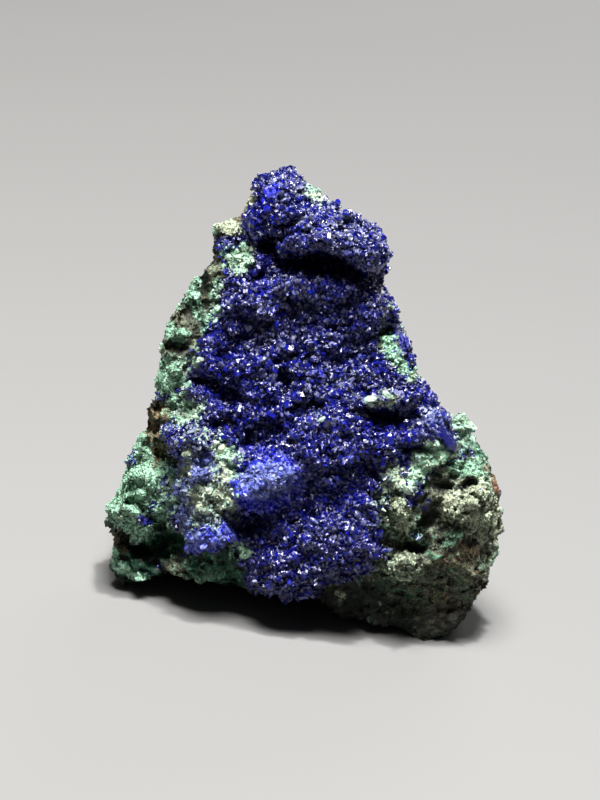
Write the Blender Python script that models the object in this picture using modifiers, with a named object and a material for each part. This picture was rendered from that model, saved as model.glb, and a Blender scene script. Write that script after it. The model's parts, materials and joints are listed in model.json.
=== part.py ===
"""Azurite specimen: a druse of azurite crystals grown over the face of a malachite-stained rock.

Metres, +Z up. The origin lies on the flat base that the rock stands on, midway along it.

The specimen is laid out in its own face frame, which looks square at the crystal face:
u runs right across the face, v up it and w out of it, all in millimetres in the tables below.
stand() then tips that frame back and turns it, which sets the rock down on its base.
"""

import math
import random

import bmesh
import bpy
from mathutils import Matrix, Vector, noise
from mathutils.bvhtree import BVHTree
from mathutils.geometry import intersect_point_line, normal

MM = 0.001

# How the rock stands: the crystal face leans back and is turned anticlockwise in its own plane.
LEAN = math.radians(17)
TURN = math.radians(8)

# The front corner of the base, which the flat cut passes through, and the origin on the base (u, w).
FRONT_FOOT = (13.9, -0.3, -0.5)
BASE_ORIGIN = (0.0, -15.0)

# The rock seen square to its crystal face (u, v): up the left side, over the top, down the right.
FACE_OUTLINE = [
    (-22.0, 15.0), (-20.6, 16.0), (-19.8, 18.6), (-18.9, 20.8), (-17.2, 23.1), (-16.4, 26.0),
    (-16.1, 29.6), (-15.7, 32.0), (-14.9, 35.2), (-13.0, 38.0), (-11.6, 40.2), (-10.0, 41.2),
    (-9.6, 42.8), (-10.2, 44.8), (-9.8, 46.4), (-8.4, 46.5), (-7.0, 46.6), (-5.9, 48.8),
    (-4.9, 50.4), (-4.7, 51.6), (-3.2, 52.4), (-1.0, 52.4), (0.3, 51.4), (1.5, 50.6),
    (2.8, 48.6), (4.2, 47.9), (5.6, 46.8), (7.4, 46.2), (9.2, 45.2), (9.8, 43.6),
    (9.6, 41.6), (9.4, 39.4), (10.6, 37.8), (11.4, 35.2), (12.5, 32.2), (13.2, 29.4),
    (14.6, 27.0), (16.6, 25.0), (18.6, 24.0), (20.0, 22.0), (21.6, 18.8), (22.6, 16.0),
    (22.6, 12.2), (21.8, 8.8), (20.0, 4.8), (17.6, 1.2), (14.4, -0.9), (12.2, 0.2),
    (10.4, 1.8), (8.8, 1.4), (5.6, 1.5), (4.2, 2.6), (1.6, 4.2), (0.2, 5.0),
    (-4.0, 4.9), (-6.6, 5.8), (-10.0, 6.0), (-12.2, 7.2), (-15.6, 7.1), (-18.0, 6.3),
    (-20.0, 6.5), (-21.2, 8.8), (-21.8, 12.0),
]

# The rock seen from its side (w, v): down the front, then under the base and up the back.
SIDE_OUTLINE = [
    (0.5, 54.0), (3.0, 50.0), (3.5, 44.0), (3.5, 36.0), (5.5, 28.0), (7.0, 20.0),
    (6.0, 12.5), (4.5, 8.5), (0.5, 4.0), (-0.5, -3.0), (-18.0, -3.0), (-18.5, 12.0),
    (-15.5, 26.0), (-11.0, 40.0), (-6.0, 51.0), (-3.0, 54.0),
]

# The rock seen along its own v axis (u, w), clockwise from the left end.
PLAN_OUTLINE = [
    (-23.0, -7.0), (-19.0, -0.5), (-11.0, 5.5), (-4.0, 8.0), (8.0, 8.0), (17.0, 6.0),
    (22.0, 0.0), (23.5, -6.0), (18.0, -13.0), (9.0, -18.0), (-6.0, -17.0), (-17.0, -14.5),
]

# Rounded masses that stand out of the rock: (u, v, w), (radii), roll in degrees.
LUMPS = {
    "apex_knob": ((-2.3, 49.8, 2.6), (2.8, 2.3, 3.4), 0),
    "apex_back": ((0.2, 48.2, -1.5), (2.6, 2.5, 3.0), -30),
    "neck": ((-3.0, 46.6, 2.6), (3.6, 2.6, 3.6), 0),
    "ledge_root": ((1.6, 46.0, 4.2), (4.2, 2.2, 4.0), -18),
    "ledge": ((5.0, 45.0, 5.4), (4.8, 2.1, 4.8), -12),
    "ledge_end": ((7.3, 43.6, 5.2), (2.3, 2.6, 4.2), 0),
    "shoulder": ((-8.4, 45.0, -0.4), (1.7, 1.5, 2.6), 0),
    "shoulder_root": ((-7.6, 42.4, 0.6), (2.2, 2.4, 3.4), 0),
    "upper_face": ((-5.4, 38.0, 3.4), (4.2, 3.2, 3.2), 0),
    "flank_top": ((-10.9, 36.8, -2.8), (2.0, 2.8, 3.4), 25),
    "flank_middle": ((-13.0, 33.0, -2.6), (2.2, 2.4, 3.4), 0),
    "flank_low": ((-13.9, 29.6, -1.8), (2.1, 2.6, 3.4), 0),
    "flank_foot": ((-15.6, 25.4, -2.0), (1.8, 2.2, 3.4), 0),
    "left_step": ((-10.2, 31.4, 2.4), (3.4, 2.6, 3.2), 0),
    "left_bead": ((-10.4, 25.6, 4.4), (1.8, 1.6, 2.4), 0),
    "left_shelf": ((-11.8, 22.4, 3.8), (4.4, 2.4, 4.2), 8),
    "pale_rib": ((9.2, 26.9, 6.2), (3.4, 1.0, 2.6), 6),
    "right_edge": ((9.7, 37.0, 1.4), (1.3, 2.0, 2.6), 0),
    "right_knob": ((15.2, 24.0, 3.6), (2.3, 2.7, 4.0), 25),
    "tongue": ((10.8, 22.0, 6.6), (3.8, 1.4, 2.8), 8),
    "middle_swell": ((3.0, 22.0, 6.8), (5.0, 4.0, 3.0), 0),
    "right_mass": ((17.2, 15.8, 1.8), (5.2, 4.6, 5.6), 0),
    "right_rib": ((11.4, 15.4, 5.0), (1.8, 3.8, 3.2), 0),
    "right_lip": ((12.0, 8.2, 4.6), (2.6, 1.8, 4.0), 0),
    "bright_ridge": ((-3.6, 17.6, 8.0), (4.0, 2.2, 3.2), 18),
    "yellow_mass": ((-10.0, 16.8, 5.4), (3.6, 3.0, 3.8), 0),
    "lower_left_mass": ((-10.2, 11.8, 4.6), (3.0, 2.2, 3.8), -15),
    "green_mass": ((-17.2, 16.8, 0.0), (3.2, 3.4, 4.4), 0),
    "corner_bead": ((-20.2, 14.2, -1.8), (1.8, 1.5, 3.6), 0),
    "corner_rib": ((-20.0, 9.6, -4.0), (1.5, 2.8, 3.4), -12),
    "corner_toe": ((-17.6, 7.4, -4.6), (3.4, 1.2, 3.6), 6),
    "keel": ((-9.0, 7.6, 0.6), (3.4, 1.7, 4.4), 0),
    "lip": ((-1.6, 8.0, 3.4), (5.0, 3.2, 4.4), 0),
    "face_foot": ((4.4, 11.6, 5.4), (5.0, 4.2, 3.6), 0),
    "left_buttress": ((-17.4, 18.5, -8.6), (2.6, 5.0, 3.6), -8),
    "right_buttress": ((18.4, 12.5, -8.4), (3.2, 5.6, 4.0), 8),
    "back_boss": ((5.5, 15.5, -16.0), (6.5, 4.6, 3.4), 12),
    "back_spur": ((-6.0, 27.0, -12.8), (3.6, 6.5, 3.4), 18),
    "back_knob": ((3.4, 36.5, -9.6), (3.2, 3.0, 2.8), 0),
    "back_foot": ((-10.0, 7.5, -15.0), (5.5, 3.2, 3.4), 0),
}

# Hollows and overhangs cut into the rock: (u, v, w), (radii), roll in degrees.
HOLLOWS = {
    "under_ledge": ((3.4, 40.8, 5.4), (4.8, 2.2, 5.4), 0),
    "under_ledge_end": ((8.8, 39.8, 5.0), (1.4, 2.2, 4.6), 0),
    "neck_pit": ((-3.0, 43.7, 5.8), (1.6, 1.5, 4.8), 0),
    "edge_notch": ((10.1, 34.8, 5.0), (1.2, 1.5, 3.0), 0),
    "face_hole": ((-1.8, 28.7, 8.0), (1.0, 1.8, 3.0), 0),
    "left_slot": ((-10.6, 28.8, 6.2), (2.0, 1.0, 2.6), 0),
    "left_pit": ((-7.8, 27.1, 7.6), (1.8, 1.3, 2.8), 0),
    "middle_pit": ((-4.2, 22.9, 9.8), (2.0, 1.8, 3.0), 0),
    "centre_pit": ((0.9, 25.8, 9.4), (1.6, 1.1, 2.6), 0),
    "under_rib": ((9.4, 25.0, 8.8), (2.6, 1.1, 3.2), 4),
    "under_tongue": ((12.8, 20.6, 8.4), (2.6, 0.9, 2.6), 12),
    "under_ridge": ((-5.4, 13.4, 9.4), (3.2, 1.9, 4.2), 0),
    "smooth_hollow": ((-15.4, 10.7, 3.0), (3.0, 1.7, 5.2), -6),
    "green_pit": ((-15.2, 13.8, 5.0), (1.2, 1.2, 3.4), 0),
    "corner_pit": ((-20.4, 12.4, 2.2), (1.6, 0.9, 3.0), 0),
    "toe_hollow": ((-16.0, 9.2, 1.4), (2.3, 1.1, 2.8), -20),
    "right_vug": ((16.4, 17.4, 8.2), (1.8, 1.3, 2.8), -20),
    "right_cleft": ((13.4, 13.8, 8.6), (1.2, 2.4, 3.4), -25),
    "right_slot": ((12.4, 10.3, 9.0), (2.6, 1.0, 4.4), 0),
    "under_face": ((6.4, 4.4, 8.4), (6.4, 3.4, 5.4), 14),
    "under_right": ((16.0, 5.0, 8.0), (6.0, 4.6, 4.4), 30),
    "left_side_vug": ((-20.4, 11.6, -10.5), (2.2, 2.0, 3.0), 0),
    "right_side_vug": ((23.6, 8.6, -4.4), (2.4, 1.8, 2.6), 0),
    "back_scar": ((-7.6, 15.0, -19.4), (5.4, 4.2, 3.4), 15),
    "back_vug": ((8.0, 26.0, -16.0), (3.4, 2.6, 3.6), 0),
    "back_step": ((-2.6, 41.0, -11.4), (4.2, 2.2, 3.4), -10),
}

# The druse seen square to the face (u, v). Where it wraps over an edge it runs past the rock.
CRUST_OUTLINE = [
    (-5.4, 54.0), (-5.6, 49.6), (-6.6, 46.6), (-9.0, 44.0), (-8.6, 41.0), (-9.6, 38.8), (-9.2, 35.2),
    (-11.2, 33.0), (-13.4, 30.6), (-13.4, 28.2), (-11.8, 26.4), (-15.2, 25.0), (-15.4, 22.8),
    (-13.8, 20.6), (-15.4, 17.8), (-15.6, 15.0), (-13.2, 13.0), (-12.2, 9.8), (-9.4, 9.6),
    (-7.4, 11.4), (-5.8, 8.4), (-5.2, 5.6), (-3.6, 2.5), (1.5, 2.8), (3.2, 6.2),
    (9.0, 8.6), (9.2, 11.6), (9.8, 14.0), (9.6, 18.0), (12.4, 15.6), (14.0, 18.8),
    (17.4, 20.6), (19.4, 22.6), (17.6, 27.0), (14.6, 29.6), (10.6, 29.2), (8.8, 31.4),
    (8.8, 34.6), (12.8, 35.4), (13.0, 39.0), (11.6, 43.4), (11.0, 47.0), (3.6, 50.0), (1.6, 54.0),
]
CRUST_BACK = -1.2  # w at which the druse ends where it wraps over an edge
CRUST_DEPTH = 1.9  # how far the rock's own surface lies under the druse
CRUST_SHARE = 0.27  # of the rock's thickness, which that depth never passes
CRUST_FADE = (-2.0, 0.65)  # (outside, inside) distances from its outline between which it thins
CRUST_WRAP = 1.3  # before and behind CRUST_BACK over which it thins too
CRUST_THINNEST = 0.2  # at its cut edge
CRUST_SIDES = 0.5  # share of the full depth at which that edge is cut
CRUST_GAP = 0.3  # between the druse and the rock
UNFOLD_STEPS = 12  # in each, the depths are lessened where the rock's surface would fold over
UNFOLD_FACTOR = 0.8  # by which they are
UNFOLD_COSINE = 0.3  # between a face's normals before and after, below which it counts as folding
RAY_START = 0.05  # how far under the surface its thickness is measured from

CUTTER_DEPTH = 80
BALL_SEGMENTS = (24, 16)  # round each rounded mass, and from pole to pole
VOXEL = 0.6
SMOOTHING_STEPS = 3
FORM_TRIANGLES = 3500
BASE_WELD = 0.001  # how near the base's plane counts as on it
CRAGS = ((4.6, 0.75), (2.1, 0.42))  # (spacing, height) of each layer of roughness
CRAG_FRACTAL = (0.9, 2.1, 3, 1.0, 1.6)  # dimension, lacunarity, octaves, offset, gain
WEAR = 0.4  # how far the roughness draws the surface in on average

CRYSTAL_COUNT = 105
CRYSTAL_SPACING = 2.4
CRYSTAL_WIDTH = (2.0, 3.6)
CRYSTAL_FITS = (1, 0.8, 0.6)  # shares of that width tried in turn until the rock is cleared
CRYSTAL_FLATNESS = 0.75
CRYSTAL_RIDGE = (0.45, 0.9)  # width of its chisel-shaped end, across and along the ridge
CRYSTAL_RISE = (0.25, 0.9)
CRYSTAL_ROOT = 0.45  # share of the druse's depth that it stands in
CRYSTAL_SIDES = 4
CRYSTAL_TILT = math.radians(42)
CRYSTAL_SHARE = 0.9  # share of the full depth at which the druse is deep enough for it
SEED = 7

AZURITE = {"color": (0.012, 0.02, 0.28, 1), "roughness": 0.22}
ROCK = {"color": (0.16, 0.3, 0.2, 1), "roughness": 0.85}


def millimetres(*values):
    """A point or size given in millimetres, in metres."""
    return Vector(values) * MM


def stand():
    """The matrix from the face frame to the standing part."""
    turned = Matrix.Rotation(math.pi / 2 - LEAN, 4, "X") @ Matrix.Rotation(TURN, 4, "Z")
    up = base_normal()
    foot = millimetres(*FRONT_FOOT)
    u, w = BASE_ORIGIN[0] * MM, BASE_ORIGIN[1] * MM
    v = (up.dot(foot) - up.x * u - up.z * w) / up.y
    return turned @ Matrix.Translation(-Vector((u, v, w)))


def base_normal():
    """The standing part's +Z, in the face frame."""
    turned = Matrix.Rotation(math.pi / 2 - LEAN, 3, "X") @ Matrix.Rotation(TURN, 3, "Z")
    return turned.transposed() @ Vector((0, 0, 1))


def clear_scene():
    for obj in list(bpy.data.objects):
        bpy.data.objects.remove(obj)


def collection(name):
    made = bpy.data.collections.new(name)
    bpy.context.scene.collection.children.link(made)
    return made


def evaluated_mesh(obj):
    """The object's mesh with its modifiers applied."""
    graph = bpy.context.evaluated_depsgraph_get()
    return bpy.data.meshes.new_from_object(obj.evaluated_get(graph))


def baked(obj):
    """Replaces the object's mesh by its evaluated one, and drops its modifiers."""
    mesh = evaluated_mesh(obj)
    obj.modifiers.clear()
    obj.data = mesh
    return obj


def helper(name, mesh, group):
    """An object that only shapes others."""
    obj = bpy.data.objects.new(name, mesh)
    obj.hide_render = True
    obj.display_type = "WIRE"
    group.objects.link(obj)
    return obj


def slab(name, outline, axes, group):
    """An outline in millimetres made a solid much thicker than the rock; axes turns it into place."""
    curve = bpy.data.curves.new(name, "CURVE")
    curve.dimensions = "2D"
    curve.fill_mode = "BOTH"
    curve.extrude = CUTTER_DEPTH * MM
    spline = curve.splines.new("POLY")
    spline.points.add(len(outline) - 1)
    for point, (x, y) in zip(spline.points, outline):
        point.co = (x * MM, y * MM, 0, 1)
    spline.use_cyclic_u = True
    drawn = helper(name, curve, group)
    mesh = evaluated_mesh(drawn)
    bpy.data.objects.remove(drawn)
    shape = bmesh.new()
    shape.from_mesh(mesh)
    bmesh.ops.remove_doubles(shape, verts=shape.verts, dist=0.01 * MM)
    bmesh.ops.transform(shape, matrix=axes, verts=shape.verts)
    bmesh.ops.recalc_face_normals(shape, faces=shape.faces)
    shape.to_mesh(mesh)
    shape.free()
    return helper(name, mesh, group)


def add_ellipsoids(shape, table):
    """Adds each of the table's rounded masses to a bmesh."""
    for centre, radii, roll in table.values():
        place = Matrix.LocRotScale(
            millimetres(*centre),
            Matrix.Rotation(math.radians(roll), 3, "Z"),
            millimetres(*radii),
        )
        round_it, up_it = BALL_SEGMENTS
        bmesh.ops.create_uvsphere(
            shape, u_segments=round_it, v_segments=up_it, radius=1, matrix=place
        )


def remesh(obj, name):
    modifier = obj.modifiers.new(name, "REMESH")
    modifier.mode = "VOXEL"
    modifier.voxel_size = VOXEL * MM
    return modifier


def carved_block(group):
    """The body common to the three outlines: from the face, from the side and along v."""
    face = slab("face_cutter", FACE_OUTLINE, Matrix.Identity(4), group)
    side_axes = Matrix(((0, 0, 1, 0), (0, 1, 0, 0), (1, 0, 0, 0), (0, 0, 0, 1)))
    plan_axes = Matrix(((1, 0, 0, 0), (0, 0, 1, 0), (0, 1, 0, 0), (0, 0, 0, 1)))
    for name, outline, axes in (
        ("side_cutter", SIDE_OUTLINE, side_axes),
        ("plan_cutter", PLAN_OUTLINE, plan_axes),
    ):
        modifier = face.modifiers.new(name, "BOOLEAN")
        modifier.operation = "INTERSECT"
        modifier.object = slab(name, outline, axes, group)
    return baked(face)


def crag_height(point):
    """How far the roughness lifts the surface at a point, in metres."""
    height = 0.0
    for spacing, size in CRAGS:
        height += size * MM * noise.ridged_multi_fractal(point / (spacing * MM), *CRAG_FRACTAL)
    return height


def rock_form(group):
    """The whole specimen's outer form, in the face frame, before it is split into rock and druse."""
    form = carved_block(group)
    shape = bmesh.new()
    shape.from_mesh(form.data)
    add_ellipsoids(shape, LUMPS)
    shape.to_mesh(form.data)
    shape.free()

    pits = bmesh.new()
    add_ellipsoids(pits, HOLLOWS)
    pits_mesh = bpy.data.meshes.new("hollow_cutter")
    pits.to_mesh(pits_mesh)
    pits.free()
    hollows = helper("hollow_cutter", pits_mesh, group)
    remesh(hollows, "one_body")

    remesh(form, "one_body")
    cut = form.modifiers.new("hollows", "BOOLEAN")
    cut.operation = "DIFFERENCE"
    cut.object = hollows
    remesh(form, "even_mesh")
    smooth = form.modifiers.new("worn", "SMOOTH")
    smooth.iterations = SMOOTHING_STEPS
    baked(form)

    shape = bmesh.new()
    shape.from_mesh(form.data)
    shape.normal_update()
    heights = [crag_height(vert.co) for vert in shape.verts]
    middle = sum(heights) / len(heights) + WEAR * MM
    for vert, height in zip(shape.verts, heights):
        vert.co += vert.normal * (height - middle)
    shape.to_mesh(form.data)
    shape.free()
    remesh(form, "rough_mesh")
    baked(form)
    decimate = form.modifiers.new("facets", "DECIMATE")
    decimate.ratio = FORM_TRIANGLES / (2 * len(form.data.polygons))
    decimate.use_collapse_triangulate = True
    return baked(form)


def cut_base(shape):
    """Cuts the form off flat where it stands, and fills the cut."""
    cut = bmesh.ops.bisect_plane(
        shape,
        geom=shape.verts[:] + shape.edges[:] + shape.faces[:],
        plane_co=millimetres(*FRONT_FOOT),
        plane_no=-base_normal(),
        dist=BASE_WELD * MM,
        clear_outer=True,
    )
    rim = [item for item in cut["geom_cut"] if isinstance(item, bmesh.types.BMEdge)]
    bmesh.ops.holes_fill(shape, edges=rim, sides=0)
    bmesh.ops.triangulate(shape, faces=shape.faces)


def outline_distance(point, outline):
    """The distance in millimetres from a point (u, v) to an outline, positive inside it."""
    nearest = math.inf
    inside = False
    flat = Vector((point.x, point.y)) / MM
    for start, end in zip(outline, outline[1:] + outline[:1]):
        a, b = Vector(start), Vector(end)
        on_line, share = intersect_point_line(flat, a, b)
        on_edge = a.lerp(b, min(1, max(0, share)))
        nearest = min(nearest, (flat - on_edge).length)
        if (a.y > flat.y) != (b.y > flat.y):
            inside ^= flat.x < a.x + (flat.y - a.y) * (b.x - a.x) / (b.y - a.y)
    return nearest if inside else -nearest


def smooth_step(value, low, high):
    share = min(1, max(0, (value - low) / (high - low)))
    return share * share * (3 - 2 * share)


def crust_share(vert):
    """1 where the druse lies at its full depth, 0 away from it."""
    over_face = smooth_step(outline_distance(vert.co, CRUST_OUTLINE), *CRUST_FADE)
    in_front = smooth_step(vert.co.z / MM, CRUST_BACK - CRUST_WRAP, CRUST_BACK + CRUST_WRAP)
    return over_face * in_front


def averaged(shape, values):
    """Each vertex's value averaged with those of its neighbours."""
    result = []
    for vert in shape.verts:
        total = values[vert.index]
        for edge in vert.link_edges:
            total = total + values[edge.other_vert(vert).index]
        result.append(total / (len(vert.link_edges) + 1))
    return result


def lowest(shape, values):
    """The least of each vertex's value and those of its neighbours."""
    result = []
    for vert in shape.verts:
        near = [values[edge.other_vert(vert).index] for edge in vert.link_edges]
        result.append(min(near + [values[vert.index]]))
    return result


def unfold(shape, depths, inward):
    """Lessens the depths wherever the surface moved in by them would fold over or pinch."""
    for _ in range(UNFOLD_STEPS):
        moved = [vert.co + way * depth for vert, way, depth in zip(shape.verts, inward, depths)]
        for face in shape.faces:
            corners = [vert.index for vert in face.verts]
            turned = normal(*(moved[index] for index in corners))
            if turned.dot(face.normal) < UNFOLD_COSINE:
                for index in corners:
                    depths[index] *= UNFOLD_FACTOR
    return depths


def crust_depths(shape):
    """How far the rock's surface lies under the specimen's at each vertex, and the way in."""
    tree = BVHTree.FromBMesh(shape)
    inward = averaged(shape, averaged(shape, [-vert.normal for vert in shape.verts]))
    inward = [way.normalized() for way in inward]
    depths = []
    for vert, way in zip(shape.verts, inward):
        through = tree.ray_cast(vert.co + way * RAY_START * MM, way)[3]
        room = through if through else 0
        depths.append(crust_share(vert) * min(CRUST_DEPTH * MM, CRUST_SHARE * room))
    depths = averaged(shape, averaged(shape, lowest(shape, depths)))
    return unfold(shape, depths, inward), inward


def boundary_edges(item):
    """How many of the edges of a face, or around a vertex, lie on the boundary."""
    edges = item.edges if isinstance(item, bmesh.types.BMFace) else item.link_edges
    return sum(edge.is_boundary for edge in edges)


def keep_largest_patch(shape):
    """Deletes all but the largest connected patch of faces, and the faces that barely hang on to it."""
    while True:
        pinched = [vert for vert in shape.verts if boundary_edges(vert) > 2]
        bmesh.ops.delete(shape, geom=pinched, context="VERTS")
        ears = [face for face in shape.faces if boundary_edges(face) > 1]
        bmesh.ops.delete(shape, geom=ears, context="FACES")
        if not pinched and not ears:
            break
    left = set(shape.faces)
    patches = []
    while left:
        grown = [left.pop()]
        for face in grown:
            for edge in face.edges:
                fresh = [near for near in edge.link_faces if near in left]
                left.difference_update(fresh)
                grown.extend(fresh)
        patches.append(grown)
    patches.sort(key=len)
    dropped = [face for patch in patches[:-1] for face in patch]
    bmesh.ops.delete(shape, geom=dropped, context="FACES")
    loose = [vert for vert in shape.verts if not vert.link_faces]
    bmesh.ops.delete(shape, geom=loose, context="VERTS")


def clears(verts, rock):
    """Whether the vertices all keep the gap to the rock, given as a BVH tree."""
    for vert in verts:
        nearest, outward, _, distance = rock.find_nearest(vert.co)
        if distance < CRUST_GAP * MM or (vert.co - nearest).dot(outward) < 0:
            return False
    return True


def add_crystals(seats, rock, group):
    """One mesh of crystals spread evenly over the druse's seats (centre, way out, depth)."""
    random.seed(SEED)
    random.shuffle(seats)
    shape = bmesh.new()
    placed = []
    for centre, outward, depth in seats:
        if len(placed) == CRYSTAL_COUNT:
            break
        if any((centre - other).length < CRYSTAL_SPACING * MM for other in placed):
            continue
        width = random.uniform(*CRYSTAL_WIDTH) * MM
        rise = random.uniform(*CRYSTAL_RISE) * MM
        sunk = CRYSTAL_ROOT * depth
        lean = Vector((random.uniform(-1, 1), random.uniform(-1, 1), random.uniform(-1, 1)))
        axis = (outward + lean * math.sin(CRYSTAL_TILT)).normalized()
        turn = axis.to_track_quat("Z", "Y").to_matrix().to_4x4()
        spin = Matrix.Rotation(random.uniform(0, math.tau), 4, "Z")
        place = Matrix.Translation(centre + axis * (rise - sunk) / 2) @ turn @ spin
        for share in CRYSTAL_FITS:
            verts = add_crystal(shape, width * share, rise + sunk, place)
            if clears(verts, rock):
                placed.append(centre)
                break
            bmesh.ops.delete(shape, geom=verts, context="VERTS")
    mesh = bpy.data.meshes.new("crystals")
    shape.to_mesh(mesh)
    shape.free()
    return helper("crystals", mesh, group)


def add_crystal(shape, width, height, place):
    """A blocky crystal with a chisel-shaped end."""
    made = bmesh.ops.create_cone(
        shape,
        cap_ends=True,
        segments=CRYSTAL_SIDES,
        radius1=width / 2,
        radius2=width / 2,
        depth=height,
    )
    for vert in made["verts"]:
        vert.co.y *= CRYSTAL_FLATNESS
        if vert.co.z > 0:
            vert.co.x *= CRYSTAL_RIDGE[0]
            vert.co.y *= CRYSTAL_RIDGE[1]
    bmesh.ops.transform(shape, matrix=place, verts=made["verts"])
    return made["verts"]


def druse_patch(shape, shares):
    """The part of the form's surface that the druse covers, and each of its vertices' form index."""
    patch = bmesh.new()
    verts = [patch.verts.new(vert.co) for vert in shape.verts]
    source = {vert: index for index, vert in enumerate(verts)}
    for face in shape.faces:
        corners = [vert.index for vert in face.verts]
        if all(shares[index] > CRUST_SIDES for index in corners):
            patch.faces.new([verts[index] for index in corners])
    keep_largest_patch(patch)
    patch.normal_update()
    return patch, source


def crystal_seats(patch, source, shares, depths):
    """The (centre, way out, depth) of each face of the patch where the druse is at its deepest."""
    seats = []
    for face in patch.faces:
        corners = [source[vert] for vert in face.verts]
        if min(shares[index] for index in corners) > CRYSTAL_SHARE:
            depth = min(depths[index] for index in corners) - CRUST_GAP * MM
            seats.append((face.calc_center_median(), face.normal.copy(), depth))
    return seats


def close_shell(patch, source, depths, inward):
    """Gives the patch an underside, which keeps CRUST_GAP to the rock, and sides."""
    inner = {}
    for vert in list(patch.verts):
        index = source[vert]
        below = depths[index] - CRUST_GAP * MM
        inner[vert] = patch.verts.new(vert.co + inward[index] * below)
    for edge in [edge for edge in patch.edges if edge.is_boundary]:
        loop = edge.link_loops[0]
        a, b = loop.vert, loop.link_loop_next.vert
        patch.faces.new((b, a, inner[a], inner[b]))
    for face in [face for face in patch.faces if all(vert in inner for vert in face.verts)]:
        patch.faces.new([inner[vert] for vert in reversed(face.verts)])
    bmesh.ops.triangulate(patch, faces=patch.faces)


def split_form(form):
    """The rock's mesh and BVH tree, the druse's mesh, and the seats for its crystals."""
    shape = bmesh.new()
    shape.from_mesh(form.data)
    cut_base(shape)
    shape.verts.ensure_lookup_table()
    shape.verts.index_update()
    shape.normal_update()
    depths, inward = crust_depths(shape)
    shares = [crust_share(vert) for vert in shape.verts]

    patch, source = druse_patch(shape, shares)
    for vert in patch.verts:
        depths[source[vert]] = max(depths[source[vert]], (CRUST_THINNEST + CRUST_GAP) * MM)
    seats = crystal_seats(patch, source, shares, depths)
    close_shell(patch, source, depths, inward)
    crust_mesh = bpy.data.meshes.new("azurite_crust")
    patch.to_mesh(crust_mesh)
    patch.free()

    for vert in shape.verts:
        vert.co += inward[vert.index] * depths[vert.index]
    rock_tree = BVHTree.FromBMesh(shape)
    rock_mesh = bpy.data.meshes.new("matrix_rock")
    shape.to_mesh(rock_mesh)
    shape.free()
    return rock_mesh, rock_tree, crust_mesh, seats


def material(name, look):
    made = bpy.data.materials.new(name)
    made.use_nodes = True
    shader = made.node_tree.nodes["Principled BSDF"]
    shader.inputs["Base Color"].default_value = look["color"]
    shader.inputs["Roughness"].default_value = look["roughness"]
    made.diffuse_color = look["color"]
    return made


def finished(name, mesh, look, group):
    """The named object, set down on its base, with its material and flat faces."""
    mesh.transform(stand())
    mesh.materials.clear()
    mesh.materials.append(material(name, look))
    mesh.shade_flat()
    obj = bpy.data.objects.new(name, mesh)
    group.objects.link(obj)
    return obj


def build():
    clear_scene()
    specimen = collection("azurite_specimen")
    cutters = collection("cutters")
    form = rock_form(cutters)
    rock_mesh, rock_tree, crust_mesh, seats = split_form(form)

    druse = helper("druse", crust_mesh, cutters)
    grown = druse.modifiers.new("crystals", "BOOLEAN")
    grown.operation = "UNION"
    grown.use_self = True
    grown.object = add_crystals(seats, rock_tree, cutters)

    finished("matrix_rock", rock_mesh, ROCK, specimen)
    finished("azurite_crust", evaluated_mesh(druse), AZURITE, specimen)


build()
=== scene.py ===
"""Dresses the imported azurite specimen: its rock, its druse and everything that grows on them."""

import json
import math

import bmesh
import bpy
import numpy as np
from bpy.props import FloatProperty, FloatVectorProperty, IntProperty, PointerProperty
from mathutils import Matrix, Vector, noise
from mathutils.bvhtree import BVHTree
from mathutils.kdtree import KDTree

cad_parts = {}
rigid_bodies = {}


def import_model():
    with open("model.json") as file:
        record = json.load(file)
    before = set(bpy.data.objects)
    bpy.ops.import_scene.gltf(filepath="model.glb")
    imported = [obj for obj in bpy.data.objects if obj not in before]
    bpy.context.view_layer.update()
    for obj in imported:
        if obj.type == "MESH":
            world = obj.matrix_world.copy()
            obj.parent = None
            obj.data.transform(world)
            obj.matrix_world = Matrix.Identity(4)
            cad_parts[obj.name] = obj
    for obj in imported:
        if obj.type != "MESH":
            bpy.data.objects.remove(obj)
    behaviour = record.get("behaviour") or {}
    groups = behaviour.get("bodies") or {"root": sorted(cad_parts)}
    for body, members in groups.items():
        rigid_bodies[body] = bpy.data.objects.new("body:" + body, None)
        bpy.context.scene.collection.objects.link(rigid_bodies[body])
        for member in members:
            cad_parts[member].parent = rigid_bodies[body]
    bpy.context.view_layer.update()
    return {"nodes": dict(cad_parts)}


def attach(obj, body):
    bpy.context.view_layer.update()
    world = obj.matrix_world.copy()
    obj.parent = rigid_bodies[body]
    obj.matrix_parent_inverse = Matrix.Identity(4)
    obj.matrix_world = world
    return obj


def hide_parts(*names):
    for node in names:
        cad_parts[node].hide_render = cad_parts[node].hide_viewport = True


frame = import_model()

bl_info = {
    "name": "Azurite Specimen",
    "version": (1, 0, 0),
    "blender": (4, 5, 0),
    "location": "3D View > Sidebar > Specimen",
    "description": "Grows an azurite druse over a malachite rock",
    "category": "Object",
}

MM = 0.001
BODY = "root"

# The face frame lies in the specimen's crystal face, in millimetres: u to the right, v up along
# the face and w out of it. The standing part is turned out of it by these.
LEAN = math.radians(17)
TURN = math.radians(8)
FRONT_FOOT = (13.9, -0.3, -0.5)  # a place on the floor, under the front
BASE_ORIGIN = (0.0, -15.0)  # u and w of the standing part's origin, which is on the floor too
FACE_MIDDLE = (0.0, 26.67)  # what the camera looks at, in u and v

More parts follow.
